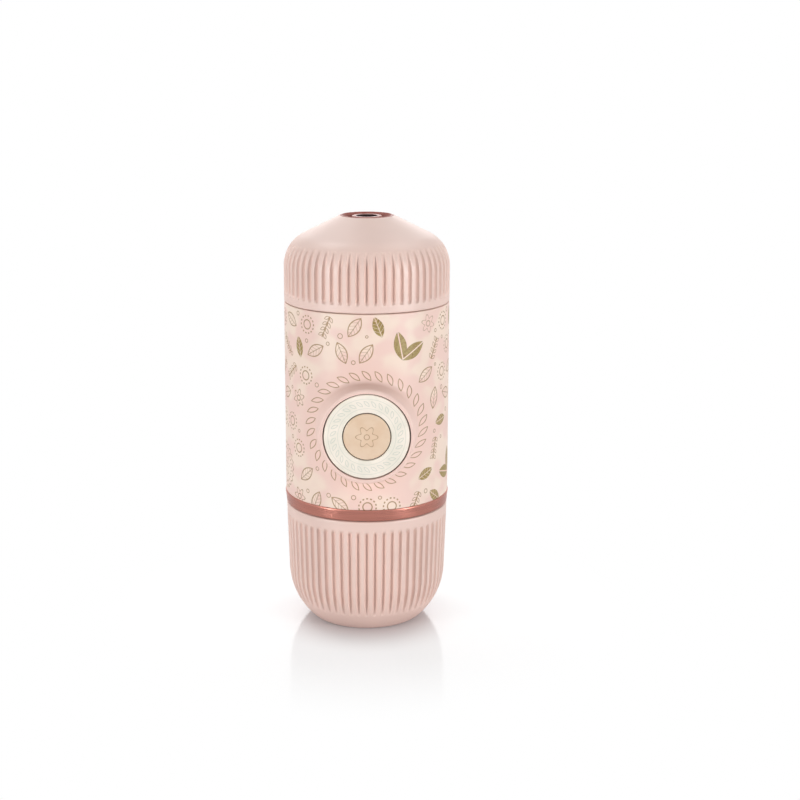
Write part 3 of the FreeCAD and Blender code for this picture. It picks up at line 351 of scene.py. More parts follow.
class Finish:
    """A material or a world being built, with one method that makes any node."""

    def __init__(self, name, makers=bpy.data.materials, shader="Principled BSDF"):
        self.material = makers.new(name)
        self.material.use_nodes = True
        self.nodes = self.material.node_tree.nodes
        self.links = self.material.node_tree.links
        self.shader = self.nodes[shader]

    def node(self, kind, settings=None, inputs=None, output=0):
        """Makes a node, sets it up, feeds its sockets and gives one of its outputs."""
        made = self.nodes.new(kind)
        for key, value in (settings or {}).items():
            setattr(made, key, value)
        for key, value in (inputs or {}).items():
            self.feed(made.inputs[key], value)
        return Value(self, made.outputs[output])

    def feed(self, socket, value):
        """Links a value to a socket, or writes a plain number or colour into it."""
        if isinstance(value, Value):
            self.links.new(value.socket, socket)
        else:
            socket.default_value = value

    def set(self, **inputs):
        """Feeds the shader's own sockets, named with underscores for spaces."""
        for key, value in inputs.items():
            self.feed(self.shader.inputs[key.replace("_", " ")], value)
        return self.material

    def place(self):
        """The object's own coordinates in millimetres, as a vector."""
        inputs = {"Vector": self.node("ShaderNodeTexCoord", output="Object"), "Scale": 1 / MM}
        return self.node("ShaderNodeVectorMath", {"operation": "SCALE"}, inputs)

    def parts(self, vector):
        """The three numbers of a vector."""
        split = self.node("ShaderNodeSeparateXYZ", inputs={"Vector": vector}).socket.node
        return [Value(self, output) for output in split.outputs]

    def vector(self, x, y, z=0.0):
        """A vector from three numbers."""
        return self.node("ShaderNodeCombineXYZ", inputs={"X": x, "Y": y, "Z": z})

    def noise(self, vector, scale, detail=3.0, roughness=0.6):
        """Soft noise from 0 to 1."""
        inputs = {"Vector": vector, "Scale": scale, "Detail": detail, "Roughness": roughness}
        return self.node("ShaderNodeTexNoise", inputs=inputs)

    def mix(self, factor, first, second):
        """A colour between two colours. Sockets 6, 7 and 2 of a mix node are its colours."""
        inputs = {0: factor, 6: first, 7: second}
        return self.node("ShaderNodeMix", {"data_type": "RGBA"}, inputs, output=2)

    def bump(self, height, strength, distance=0.04):
        """A normal from a height, whose full rise is a distance in millimetres."""
        inputs = {"Height": height, "Strength": strength, "Distance": distance * MM}
        return self.node("ShaderNodeBump", inputs=inputs)


def length(x, y):
    """Length of a step across and up, as a value."""
    return (x * x + y * y).maths("SQRT")


def about_knob(x, z):
    """Reach and bearing round the knob's axis."""
    up = z - AXIS_HEIGHT
    return length(x, up), up.maths("ARCTAN2", x)


def moulded(name, colour, roughness=0.5, grain=0.25, coat=0.0, shine=0.5):
    """Moulded plastic: fine spark-eroded grain, faint flow marks and a slightly uneven sheen."""
    finish = Finish(name)
    place = finish.place()
    grit = finish.noise(place, 6.0)
    flow = finish.noise(place, 0.05, 2.0, 0.5)
    shade = finish.mix(flow.ramp(0.3, 0.7), tinted(colour, 0.94), colour)
    shade = finish.mix(grit * 0.24, shade, tinted(colour, 1.05))
    uneven = (grit - 0.5) * 0.12 + (flow - 0.5) * 0.08
    return finish.set(Base_Color=shade, Roughness=uneven + roughness, Coat_Weight=coat,
                      Normal=finish.bump(grit, grain), Specular_IOR_Level=shine)


def brushed(name, colour, roughness, metallic=1.0):
    """Metal brushed round its axis: long fine streaks that follow the turning marks."""
    finish = Finish(name)
    place = finish.place()
    x, y, z = finish.parts(place)
    radius = length(x, y)
    angle = y.maths("ARCTAN2", x)
    marks = finish.noise(finish.vector(radius * 9, z * 9, angle * 1.2), 1.0, 4.0, 0.65)
    wear = finish.noise(place, 0.12, 2.0, 0.5)
    shade = finish.mix(marks.ramp(0.3, 0.7), tinted(colour, 0.8), tinted(colour, 1.12))
    return finish.set(Base_Color=shade, Metallic=metallic,
                      Roughness=roughness + (marks - 0.5) * 0.2 + (wear - 0.5) * 0.08,
                      Normal=finish.bump(marks, 0.35, 0.03))


def silicone(name, colour):
    """Matt silicone rubber with a dusty, slightly uneven face."""
    finish = Finish(name)
    place = finish.place()
    dust = finish.noise(place, 1.6, 4.0, 0.7)
    pale = (*[channel * 0.85 + 0.05 for channel in colour[:3]], 1.0)
    shade = finish.mix(dust.ramp(0.45, 0.8) * 0.5, colour, pale)
    return finish.set(Base_Color=shade, Roughness=0.62 + (dust - 0.5) * 0.2,
                      Normal=finish.bump(dust, 0.2, 0.05))


def perforated(name, colour, low, high):
    """Steel sheet drilled with fine holes in a triangular pattern, between two radii."""
    finish = Finish(name)
    place = finish.place()
    x, y, _ = finish.parts(place)
    reach = length(x, y)
    pitch, hole = 1.15, 0.3
    row = pitch * math.sqrt(3)

    def holes(shift):
        """Distance to the nearest hole of one of the two rectangular grids."""
        across = ((x / pitch + shift).maths("FRACT") - 0.5) * pitch
        along = ((y / row + shift).maths("FRACT") - 0.5) * row
        return length(across, along)

    nearest = holes(100.0).maths("MINIMUM", holes(100.5))
    field = (reach - low).inside(0.02) * (high - reach).inside(0.02)
    drilled = (hole - nearest).ramp(-0.05, 0.05) * field
    haze = finish.noise(place, 0.5)
    sheet = finish.mix(haze, tinted(colour, 0.9), colour)
    shade = finish.mix(drilled, sheet, paint(22, 20, 20))
    return finish.set(Base_Color=shade, Metallic=1 - drilled,
                      Roughness=0.26 + haze * 0.14 + drilled * 0.4,
                      Normal=finish.bump(drilled * -1, 0.5, 0.2))


PINK_PAPER = paint(241, 210, 199)
CREAM_PAPER = paint(245, 224, 208)
GOLD_LINE = paint(168, 136, 96)
GOLD_FILL = paint(172, 152, 92)
GOLD_DARK = paint(140, 112, 58)

# Printed pattern in millimetres. Its bricks are (columns, row height, start height, seed). The
# room round the knob and round a large motif is named after what stays out of it.
PRINT_LINE = 0.22
KNOB_CLEAR = 18.0
WREATH_RADIUS = 20.8
RING_LEAVES = 30
SLANT = 0.7071
SMALL_BRICKS = (20, 9.5, 0.0, 4.5)
LOOSE_BRICKS = (20, 9.5, 0.0, 1.5)
LARGE_BRICKS = (7, 24.4, 49.3, 2.5)
KNOB_ROOM = {"large": 31.0, "small": 26.2, "loose": 25.0, "lines": 23.4, "patches": 24.8}
LARGE_ROOM = {"small": 12.6, "loose": 11.5, "lines": 9.6}

# The small motif of a brick, by the range its random number is in
LEAVES, VEINED, FLOWERS = (-0.1, 0.24), (0.24, 0.42), (0.42, 0.62)
SPRIGS, RINGS = (0.62, 0.82), (0.82, 1.1)


def leaf(p, q, half_length, half_width):
    """How far inside a pointed leaf a point is: the leaf's width falls off as a parabola."""
    along = p / half_length
    return (1 - along * along) * half_width - abs(q)


def spout_satin():
    """Satin rose of the spout dish, with painted shade that darkens it towards its bore."""
    finish = Finish("spout_satin")
    place = finish.place()
    x, y, _ = finish.parts(place)
    grit = finish.noise(place, 6.0)
    cloud = finish.noise(place, 0.35)
    rose = finish.mix(cloud.ramp(0.3, 0.7), paint(166, 100, 91), paint(184, 118, 107))
    # Painted shade: the colour turns dark brown near the bore's edge so that the hole looks dark
    painted_bore_shade = (NOZZLE_RADIUS + 0.55 - length(x, y)).ramp(0.0, 0.35)
    return finish.set(Base_Color=finish.mix(painted_bore_shade, rose, paint(44, 26, 24)),
                      Roughness=0.34 + (grit - 0.5) * 0.12 + painted_bore_shade * 0.2,
                      Normal=finish.bump(grit, 0.1), Specular_IOR_Level=0.15)


def brick_layout(turns, z, bricks):
    """Bricks of a grid on the unrolled wall, with random numbers for each.

    Returns the place in the brick (along the wall and up, from its middle), the brick's middle
    (turns round the wall, height) and three random numbers.
    """
    finish = turns.finish
    columns, row_height, start, seed = bricks
    level = (z - start) / row_height
    row = level.maths("FLOOR")
    shift = row.maths("FLOORED_MODULO", 2.0) * 0.5
    shifted = turns * columns + shift
    column = shifted.maths("FLOOR")
    cell = finish.vector(column.maths("FLOORED_MODULO", float(columns)) + 0.5, row + 0.5, seed)
    chance = finish.node("ShaderNodeTexWhiteNoise", inputs={"Vector": cell}, output="Color")
    across = (shifted.maths("FRACT") - 0.5) * (TURN * BODY_RADIUS / columns)
    up = (level.maths("FRACT") - 0.5) * row_height
    middle = (column - shift + 0.5) / columns, (row + 0.5) * row_height + start
    return (across, up), middle, finish.parts(chance)


def large_layout(turns, z):
    """Place in the sparse large bricks, and how much each is a leaf pair or a medallion."""
    (across, up), (middle, level), chances = brick_layout(turns, z, LARGE_BRICKS)
    turn, kind, jitter = chances
    free = 1 - room_round_knob(middle, level, "large")
    pair = (kind < 0.5) * free
    medallion = (kind > 0.5) * (kind < 0.85) * free
    return across + (jitter - 0.5) * 4.0, up, turn, pair, medallion


def room_round_large(turns, z, what):
    """1 near the middle of a large motif, where it keeps something out."""
    across, up, _, pair, medallion = large_layout(turns, z)
    return (pair + medallion) * (1 - (length(across, up) - LARGE_ROOM[what]).inside(0.1))


def room_round_knob(turns, z, what, soft=0.05):
    """1 near the knob's axis, on the casing's front, where it keeps something out."""
    bearing = turns * TURN
    reach = length(bearing.maths("SINE") * BODY_RADIUS, z - AXIS_HEIGHT)
    front = bearing.maths("COSINE") > 0.26
    return front * (1 - (reach - KNOB_ROOM[what]).inside(soft))


def turned_by(across, up, angle):
    """A place in the plane, turned by an angle."""
    sine, cosine = angle.maths("SINE"), angle.maths("COSINE")
    return across * cosine + up * sine, up * cosine - across * sine


def large_motifs(turns, z):
    """Olive-gold leaf pairs and scalloped medallions of the print, as filled part and lines."""
    across, up, turn, pair, medallion = large_layout(turns, z)
    p, q = turned_by(across, up, turn * 1.6 - 0.8)
    reach = length(p, q)
    bearing = q.maths("ARCTAN2", p)
    side = abs(p) * 0.82 - (q + 1.0) * 0.57
    along = abs(p) * 0.57 + (q + 5.0) * 0.82
    leaf_pair = leaf(along - 6.0, side - 1.6, 5.6, 2.5)
    vein = (side - 1.6).line(PRINT_LINE)
    stem = p.line(0.25) * (q + 1.5).inside(0.2).clear((q + 8.5).inside(0.2))
    filled = pair * leaf_pair.inside().clear(vein)
    scallops = (reach - 8.6 - (bearing * 22).maths("COSINE") * 0.45).line(PRINT_LINE)
    petals = (reach - 3.4 - (bearing * 8).maths("COSINE") * 1.1).line(PRINT_LINE)
    beads = (reach - 6.6).line(0.3) * (bearing * 30).maths("COSINE").ramp(-0.1, 0.1)
    lines = medallion * (scallops + petals + beads + (reach - 1.2).line(PRINT_LINE)) + pair * stem
    return filled, lines.maths("MINIMUM", 1.0)


def small_motifs(turns, z):
    """Leaves, flowers, sprigs and dotted rings of the print, as filled part and lines."""
    (across, up), (middle, level), chances = brick_layout(turns, z, SMALL_BRICKS)
    turn, kind, jitter = chances
    p, q = turned_by(across + (jitter - 0.5) * 1.6, up + (kind - 0.5) * 0.8, turn * TURN)
    reach = length(p, q)
    bearing = q.maths("ARCTAN2", p)

    def chosen(share):
        """1 in the bricks whose random number lies in a range."""
        return (kind > share[0]) * (kind < share[1])

    big_leaf = leaf(p, q, 4.1, 2.0)
    rib = q.line(0.16) + ((abs(q) * 0.8 - p).maths("FLOORED_MODULO", 1.5) - 0.75).line(0.09)
    filled = chosen(LEAVES) * big_leaf.inside().clear((rib * 0.75).maths("MINIMUM", 1.0))
    veined = chosen(VEINED) * (big_leaf.line(PRINT_LINE) + rib * big_leaf.inside() * 0.8)
    petals = reach - 2.6 - (bearing * 6).maths("COSINE") * 0.75
    flower = chosen(FLOWERS) * (petals.line(PRINT_LINE) + (reach - 1.0).line(PRINT_LINE))
    step = p.maths("FLOORED_MODULO", 2.2) - 1.1
    wing = leaf((step + abs(q) - 1.0) * 0.7, (abs(q) - step - 0.9) * 0.7, 1.05, 0.5)
    sprig = chosen(SPRIGS) * (4.2 - abs(p)).inside() * (q.line(PRINT_LINE) + wing.line(0.14))
    beads = (bearing * 14).maths("COSINE").ramp(-0.1, 0.1)
    ring = chosen(RINGS) * ((reach - 3.2).line(0.26) * beads + (reach - 1.7).line(PRINT_LINE))
    taken = room_round_large(middle, level, "small")
    taken = taken.maths("MAXIMUM", room_round_knob(middle, level, "small"))
    lines = (veined + flower + sprig + ring).maths("MINIMUM", 1.0)
    return filled.clear(taken), lines.clear(taken)


def scattered_rings(turns, z):
    """Small rings of the print, in the gaps between three bricks."""
    half = 0.5 / LOOSE_BRICKS[0]
    (across, up), (middle, level), chances = brick_layout(turns + half, z, LOOSE_BRICKS)
    size, chance, side = chances
    out = abs(up) - LOOSE_BRICKS[1] / 3
    reach = length(across, out)
    middle = middle - half
    taken = room_round_large(middle, level, "loose")
    taken = taken.maths("MAXIMUM", room_round_knob(middle, level, "loose"))
    wanted = (chance > 0.25) * (up * (side - 0.4) > 0.0)
    return (wanted * (reach - 0.45 - size * 0.45).line(0.14)).clear(taken)


def slanting_leaves(reach, bearing, middle, half_length, half_width):
    """How far inside one of a ring of short slanting leaves a point is."""
    slot = (bearing * (RING_LEAVES / TURN)).maths("FLOORED_MODULO", 1.0) - 0.5
    across = slot * (TURN * middle / RING_LEAVES)
    out = reach - middle
    return leaf((across + out) * SLANT, (out - across) * SLANT, half_length, half_width)


def knob_wreath(x, z):
    """Slanting leaves in a ring round the knob, as lines."""
    reach, bearing = about_knob(x, z)
    shape = slanting_leaves(reach, bearing, WREATH_RADIUS, 2.3, 0.85)
    return shape.line(0.17) * (reach - KNOB_CLEAR).inside()


def printed_casing():
    """Pale casing with a generic botanical print in fine gold lines and a few olive-gold fills.

    The unrolled wall has bricks of one motif each, moved and turned by random numbers of their
    own. A large motif and the knob with its wreath of short leaves keep them out.
    """
    finish = Finish("casing_print")
    place = finish.place()
    x, y, z = finish.parts(place)
    turns = x.maths("ARCTAN2", y * -1) / TURN
    front = y * -1 > 8.0
    bare = room_round_knob(turns, z, "lines")
    filled, drawn = small_motifs(turns, z)
    large_filled, large_drawn = large_motifs(turns, z)
    drawn = drawn.maths("MAXIMUM", scattered_rings(turns, z))
    drawn = drawn.clear(room_round_large(turns, z, "lines")).maths("MAXIMUM", large_drawn)
    lines = drawn.clear(bare).maths("MAXIMUM", knob_wreath(x, z) * front)
    fill = filled.maths("MAXIMUM", large_filled).clear(bare)
    patches = finish.noise(finish.vector(turns * 20, z * 0.11), 1.0, 1.0, 0.5)
    plain = room_round_knob(turns, z, "patches", soft=3.0)
    paper = finish.mix(patches.ramp(0.40, 0.60).clear(plain), PINK_PAPER, CREAM_PAPER)
    ink = finish.noise(place, 1.3)
    coloured = finish.mix(lines * (ink.ramp(0.1, 0.5) * 0.35 + 0.6), paper, GOLD_LINE)
    coloured = finish.mix(fill, coloured, finish.mix(ink.ramp(0.35, 0.7), GOLD_FILL, GOLD_DARK))
    grit = finish.noise(place, 6.0)
    return finish.set(Base_Color=coloured,
                      Roughness=0.42 + (grit - 0.5) * 0.12 + lines * 0.08,
                      Normal=finish.bump(grit + (lines + fill) * 1.5, 0.25))


def printed_knob_ring():
    """Cream ring of the knob with a faint generic ring of small leaves in grey-green."""
    finish = Finish("knob_ring_print")
    place = finish.place()
    x, _, z = finish.parts(place)
    reach, bearing = about_knob(x, z)
    middle = 12.2
    leaves = slanting_leaves(reach, bearing, middle, 1.35, 0.5)
    print_mask = leaves.line(0.12) + (abs(reach - middle) - 1.75).line(0.07)
    cloud = finish.noise(place, 0.16)
    sheen = finish.mix(cloud.ramp(0.35, 0.65), paint(248, 240, 227), paint(238, 233, 219))
    shade = finish.mix(print_mask.maths("MINIMUM", 1.0) * 0.55, sheen, paint(186, 196, 184))
    grit = finish.noise(place, 5.0)
    return finish.set(Base_Color=shade, Roughness=0.34 + (grit - 0.5) * 0.1 + print_mask * 0.05,
                      Normal=finish.bump(grit, 0.15))


def printed_knob_disc():
    """Peach disc with a plain six-petalled rosette in thin tan lines."""
    finish = Finish("knob_disc_print")
    place = finish.place()
    x, _, z = finish.parts(place)
    reach, bearing = about_knob(x, z)
    petals = reach - 3.2 - (bearing * 6).maths("COSINE") * 0.8
    rosette = petals.line(0.16) + (reach - 0.95).line(0.14)
    cloud = finish.noise(place, 0.2)
    base = finish.mix(cloud.ramp(0.35, 0.7), paint(232, 207, 181), paint(227, 198, 169))
    shade = finish.mix(rosette.maths("MINIMUM", 1.0) * 0.8, base, paint(168, 130, 92))
    grit = finish.noise(place, 5.0)
    return finish.set(Base_Color=shade, Roughness=0.36 + (grit - 0.5) * 0.12,
                      Normal=finish.bump(grit + rosette * -2.0, 0.3, 0.05))


FINISHES = {
    "pink_plastic": moulded("pink_plastic_fine", paint(236, 207, 196), roughness=0.44,
                            grain=0.22, shine=0.8),
    "rose_metal": brushed("rose_metal_brushed", paint(194, 129, 115), roughness=0.3, metallic=0.75),
    "rose_satin": spout_satin(),
    "dark_plastic": moulded("dark_brown_plastic", paint(58, 42, 38), roughness=0.45),
    "grey_plastic": moulded("dark_grey_plastic", paint(74, 70, 70)),
    "barrel_plastic": moulded("white_barrel_plastic", paint(222, 220, 212), roughness=0.35),
    "tank_plastic": moulded("smoke_tank_plastic", paint(112, 104, 104), roughness=0.28, coat=0.15),
    "silicone": silicone("brick_silicone", paint(158, 84, 72)),
    "tube_silicone": silicone("milky_silicone", paint(214, 211, 202)),
    "steel": brushed("steel_brushed", paint(205, 202, 197), roughness=0.28),
    "screen_steel": perforated("steel_screen", paint(205, 202, 197), low=3.2, high=19.6),
    "shell_print": printed_casing(),
    "cream_plastic": printed_knob_ring(),
    "peach_plastic": printed_knob_disc(),
}


SLOTS = {row["node"]: row["material_slot"] for row in frame["record"]["subparts"]}


def dress(obj, node):
    """Puts a finished piece in place of a frame node, on that node's body."""
    bodies = frame["record"]["behaviour"]["bodies"]
    body = next(name for name, nodes in bodies.items() if node in nodes)
    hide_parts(node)
    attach(obj, body)


def turned_node(node, chain, finish=None, **options):
    """A turned piece that stands for a frame node, in its slot's finish or in one of its own."""
    material = FINISHES[finish or SLOTS[node]]
    dress(turned(node + "_turned", chain, material, **options), node)


def open_node(node, corners, step, **options):
    """A turned piece whose section starts and ends on its axis, from corners."""
    turned_node(node, fine(eased(corners), step), closed=False, **options)


# --- The fluted cup and head ---

def cup_chain():
    """Section of the cup: tapered side, bowl of two tangent arcs, flat foot and even wall."""
    lip_radius, side_foot, side_height = 30.8, 30.0, 19.6
    bowl, foot_arc, wall = 26.0, 5.0, 1.8
    lip_height = span("cup")[1]
    taper = math.atan((lip_radius - side_foot) / (lip_height - side_height))
    centre = np.array([side_foot - bowl * math.cos(taper), side_height + bowl * math.sin(taper)])
    end = math.asin((centre[1] - foot_arc) / (bowl - foot_arc))
    foot_centre = (centre[0] + (bowl - foot_arc) * math.cos(end), foot_arc)
    ease, lip_inside = 0.5, lip_radius - wall / math.cos(taper)
    taper, end = math.degrees(taper), math.degrees(end)
    half_lip = (lip_radius - lip_inside) / 2
    lip = arc((lip_inside + half_lip, 0), half_lip, 0, 180, 8) * (1, ease / half_lip)
    lip[:, 1] += lip_height - ease
    return joined(fine([[0, 0], [foot_centre[0], 0]], 6.0), arc(foot_centre, foot_arc, -90, -end, 8),
                  arc(centre, bowl, -end, -taper, 42),
                  fine([[side_foot, side_height], [lip_radius, lip_height - ease]], 0.7), lip,
                  arc(centre, bowl - wall, -taper, -end, 14),
                  arc(foot_centre, foot_arc - wall, -end, -90, 5), [[0, wall]])


def make_cup():
    """The drinking cup, with sixty flutes down its side that run out on the bowl."""
    carve = fluting(low=7.6, low_fade=6.0, high=41.7, high_fade=1.1)
    turned_node("cup", cup_chain(), angles=flute_angles(), carve=carve, closed=False)


def head_chain():
    """Section of the head: straight side, round shoulder, shallow cone, rim and even wall."""
    low, high = span("outlet_head")
    shoulder, turn, wall, ease = 13.0, 63.6, 2.2, 0.4
    level = low + 13.2
    centre = (BODY_RADIUS - shoulder, level)
    shoulder_top = arc(centre, shoulder, turn, turn, 1)[0]
    cone = [shoulder_top, [SPOUT_RIM + 0.25, high - 0.12], [SPOUT_RIM, high - 0.35]]
    inner_rim = high - wall / math.sin(math.radians(turn))
    return joined(arc((BODY_RADIUS - ease, low + ease), ease, -90, 0, 4),
                  fine([[BODY_RADIUS, low + ease], [BODY_RADIUS, level]], 0.6),
                  arc(centre, shoulder, 0, turn, 34), fine(cone[:2], 1.6), cone[1:],
                  [[SPOUT_RIM, inner_rim]], arc(centre, shoulder - wall, turn, 0, 12),
                  [[BODY_RADIUS - wall, low]])


def make_head():
    """The head's fluted dome."""
    low = span("outlet_head")[0]
    carve = fluting(low=low + 3.0, low_fade=1.1, high=low + 21.6, high_fade=6.0)
    turned_node("outlet_head", head_chain(), angles=flute_angles(), carve=carve)


# --- The casing with its boss ---

CASING_RAYS = 560
CASING_WALL = 2.0
BOSS_FACE = 39.2
BOSS_SLOPE = 1.4 / 15.63
BOSS_BLEND = 2.4
PATCH_RADIUS = 27.0


def wall_depth(across):
    """Distance of the casing's round wall in front of the axis, at a place across."""
    return np.sqrt(np.maximum(BODY_RADIUS ** 2 - across ** 2, 0))


def boss_rows(rays):
    """Reach from the knob's axis and depth in front of the object's, for each row over the boss.

    Per ray: the hole's edge, the flat face, a quarter round of radius e, the flank
    r = rim + slope (face - depth), a bridge onto the wall, and the wall
    depth = sqrt(R^2 - (r cos ray)^2). The bridge is a parabola: with the flank's foot P, the
    flank's point A and the wall's point B, both a blend's width away, it is
    (1-t)^2 A + 2 t (1-t) P + t^2 B.
    """
    ease = 1.0
    across = np.cos(rays)
    foot_depth = np.full_like(rays, BODY_RADIUS - 5.0)
    for _ in range(8):
        foot = BOSS_RIM + (BOSS_FACE - foot_depth) * BOSS_SLOPE
        foot_depth = wall_depth(foot * across)
    turns = np.radians([0, 18, 36, 54, 72, 86])
    fixed = [(KNOB_HOLE + out, BOSS_FACE - back) for out, back in ((0, 0.25), (0.02, 0), (0.3, 0))]
    fixed += [(BOSS_RIM + ease * (math.sin(turn) - 1), BOSS_FACE + ease * (math.cos(turn) - 1))
              for turn in turns]
    rows = [(np.full_like(rays, reach), np.full_like(rays, depth)) for reach, depth in fixed]
    top = BOSS_FACE - ease
    blend_top = np.minimum(foot_depth + BOSS_BLEND, top - 0.3)
    for share in np.linspace(0, 1, 7)[1:]:
        depth = top + (blend_top - top) * share
        rows.append((BOSS_RIM + (BOSS_FACE - depth) * BOSS_SLOPE, depth))
    start, start_depth = rows[-1]
    wall_reach = foot + BOSS_BLEND
    wall_start = wall_depth(wall_reach * across)
    for t in np.linspace(0, 1, 10)[1:]:
        near, between, far = (1 - t) ** 2, 2 * t * (1 - t), t ** 2
        rows.append((near * start + between * foot + far * wall_reach,
                     near * start_depth + between * foot_depth + far * wall_start))
    for share in np.linspace(0, 1, 15)[1:]:
        reach = wall_reach + (PATCH_RADIUS - wall_reach) * share
        rows.append((reach, wall_depth(reach * across)))
    return np.array(rows).transpose(1, 0, 2)


def casing_edge(rays):
    """Where rays from the knob's axis leave the unrolled wall, and which do so at the back.

    Places are (along the wall, height). The rays nearest to the corners are moved onto them.
    """
    low, high = span("body_shell")
    half = math.pi * BODY_RADIUS
    above, below = high - AXIS_HEIGHT, AXIS_HEIGHT - low
    corners = [math.atan2(above, half), math.atan2(-below, half)]
    corners += [math.pi - corners[0], -math.pi - corners[1]]
    for corner in corners:
        nearest = np.argmin(np.abs((rays - corner + math.pi) % TURN - math.pi))
        rays[nearest] = corner
    with np.errstate(divide="ignore"):
        sideways = half / np.abs(np.cos(rays))
        upwards = np.where(np.sin(rays) > 0, above, below) / np.abs(np.sin(rays))
    reach = np.minimum(sideways, upwards)
    edge = np.column_stack([reach * np.cos(rays), AXIS_HEIGHT + reach * np.sin(rays)])
    return edge, sideways < upwards - 1e-6


def casing_wall(rays, edge, radius, steps, start_reach):
    """Rows of points from a circle round the knob out to the edge of the unrolled wall.

    The circle's points are put on the wall first. Each row then lies part of the way, in the
    unrolled wall, from the circle to the edge.
    """
    along = BODY_RADIUS * np.arcsin(start_reach * np.cos(rays) / radius)
    start = np.column_stack([along, AXIS_HEIGHT + start_reach * np.sin(rays)])
    share = np.linspace(0, 1, steps + 1)[:, None, None] ** 1.15
    flat = start + (edge - start) * share
    angle = flat[..., 0] / BODY_RADIUS
    return np.stack([radius * np.sin(angle), -radius * np.cos(angle), flat[..., 1]], axis=-1)


def make_casing():
    """The printed casing, as one closed wall with its boss and knob hole.

    Columns are rays from the knob's axis. Rows go along each ray: out of the hole, over the
    boss, along the outer wall to its edge, over the lip, and back inside to the hole.
    """
    rays = (np.arange(CASING_RAYS) + 0.5) * TURN / CASING_RAYS
    edge, at_back = casing_edge(rays)
    reach, depth = boss_rows(rays)
    patch = np.stack([reach * np.cos(rays), -depth, AXIS_HEIGHT + reach * np.sin(rays)], axis=-1)
    outer = casing_wall(rays, edge, BODY_RADIUS, 52, PATCH_RADIUS)[1:]
    ease, inner_radius = 0.35, BODY_RADIUS - CASING_WALL
    up = np.where(edge[:, 1] > AXIS_HEIGHT, 1.0, -1.0)
    angle = edge[:, 0] / BODY_RADIUS

    def rim(radius, inset):
        """One row round both open ends, at a radius and a distance in from the end."""
        height = edge[:, 1] - up * inset * ~at_back
        return np.stack([radius * np.sin(angle), -radius * np.cos(angle), height], axis=-1)[None]

    outer[-1] = rim(BODY_RADIUS, ease)[0]
    turns = np.radians([30, 60, 90])
    lip = [rim(BODY_RADIUS - ease * (1 - math.cos(t)), ease * (1 - math.sin(t))) for t in turns]
    lip += [rim(inner_radius + 0.2, 0), rim(inner_radius, 0)]
    inner = casing_wall(rays, edge, inner_radius, 22, KNOB_HOLE)[::-1][1:]
    grid = np.concatenate([patch, outer, *lip, inner])
    lip_start = len(patch) + len(outer) - 1
    keep = np.ones((len(grid), CASING_RAYS), bool)
    keep[lip_start:lip_start + len(lip), at_back | np.roll(at_back, -1)] = False
    faces = grid_faces(len(grid), CASING_RAYS, True, keep)
    obj = piece("body_shell_printed", grid * MM, faces, FINISHES["shell_print"], smooth_angle=50)
    dress(obj, "body_shell")


make_cup()
make_head()
make_casing()


# --- Metal ring, spout and knob ---

def make_accent_ring():
    """Brushed ring between casing and cup, slightly conical, with eased edges."""
    low, high = span("accent_ring")
    chain = eased([(INNER_RADIUS, low), (30.8, low, 0.3), (31.3, high, 0.3), (INNER_RADIUS, high)])
    turned_node("accent_ring", chain, columns=360)


def make_spout():
    """Conical dish in the head with its raised ring, and the dark tube in the bore."""
    low, high = span("spout_insert")
    floor, ring = high - 2.1, 5.6
    ring_top = floor + 1.8
    dish = eased([(NOZZLE_RADIUS, low), (SPOUT_RIM, low), (SPOUT_RIM, high, 0.15),
                  (SPOUT_RIM - 0.45, high, 0.12), (ring + 2.0, floor, 0.5), (ring, floor, 0.25),
                  (ring, ring_top, 0.3), (NOZZLE_RADIUS + 0.2, ring_top, 0.25),
                  (NOZZLE_RADIUS, floor, 0.1)])
    turned_node("spout_insert", dish)
    low, high = span("spout_nozzle")
    bore = NOZZLE_RADIUS - 0.45
    tube = eased([(bore, low), (NOZZLE_RADIUS, low), (NOZZLE_RADIUS, high, 0.1), (bore, high, 0.15)])
    turned_node("spout_nozzle", tube, columns=96)


def make_knob():
    """Knob body with a long skirt, its cream ring and the crowned peach disc."""
    rear, front = depth_span("knob_shell")
    floor, skirt = front - 1.8, KNOB_RADIUS - 1.5
    hub, hub_outer, hub_end = 4.06, 6.26, floor - 6.0
    shell = eased([(skirt, rear), (KNOB_RADIUS, rear, 0.3), (KNOB_RADIUS, front), (0.0, front)])
    inside = eased([(0.0, floor), (hub, floor), (hub, hub_end), (hub_outer, hub_end, 0.3),
                    (hub_outer, floor, 0.8), (skirt, floor, 0.8), (skirt, rear)])
    turned_node("knob_shell", joined(shell, inside), facing=True, closed=False)
    rear, front = depth_span("knob_ring")
    hole, disc_radius, crown = 8.85, 8.45, 0.35
    ring = eased([(hole, rear), (KNOB_RADIUS, rear), (KNOB_RADIUS, front, 0.3), (hole, front, 0.25)])
    turned_node("knob_ring", ring, facing=True, columns=240)
    rear, front = depth_span("knob_disc")
    inward = 1 - np.linspace(0, 1, 12)
    top = np.column_stack([disc_radius * inward, front - crown * inward ** 2])
    top[0] = (disc_radius - 0.12, front - crown)
    disc = joined([[0, rear], [disc_radius, rear], [disc_radius, front - crown - 0.12]], top)
    turned_node("knob_disc", disc, facing=True, closed=False)


make_accent_ring()
make_spout()
make_knob()


# --- Tank, seals, neck, basket and head core ---

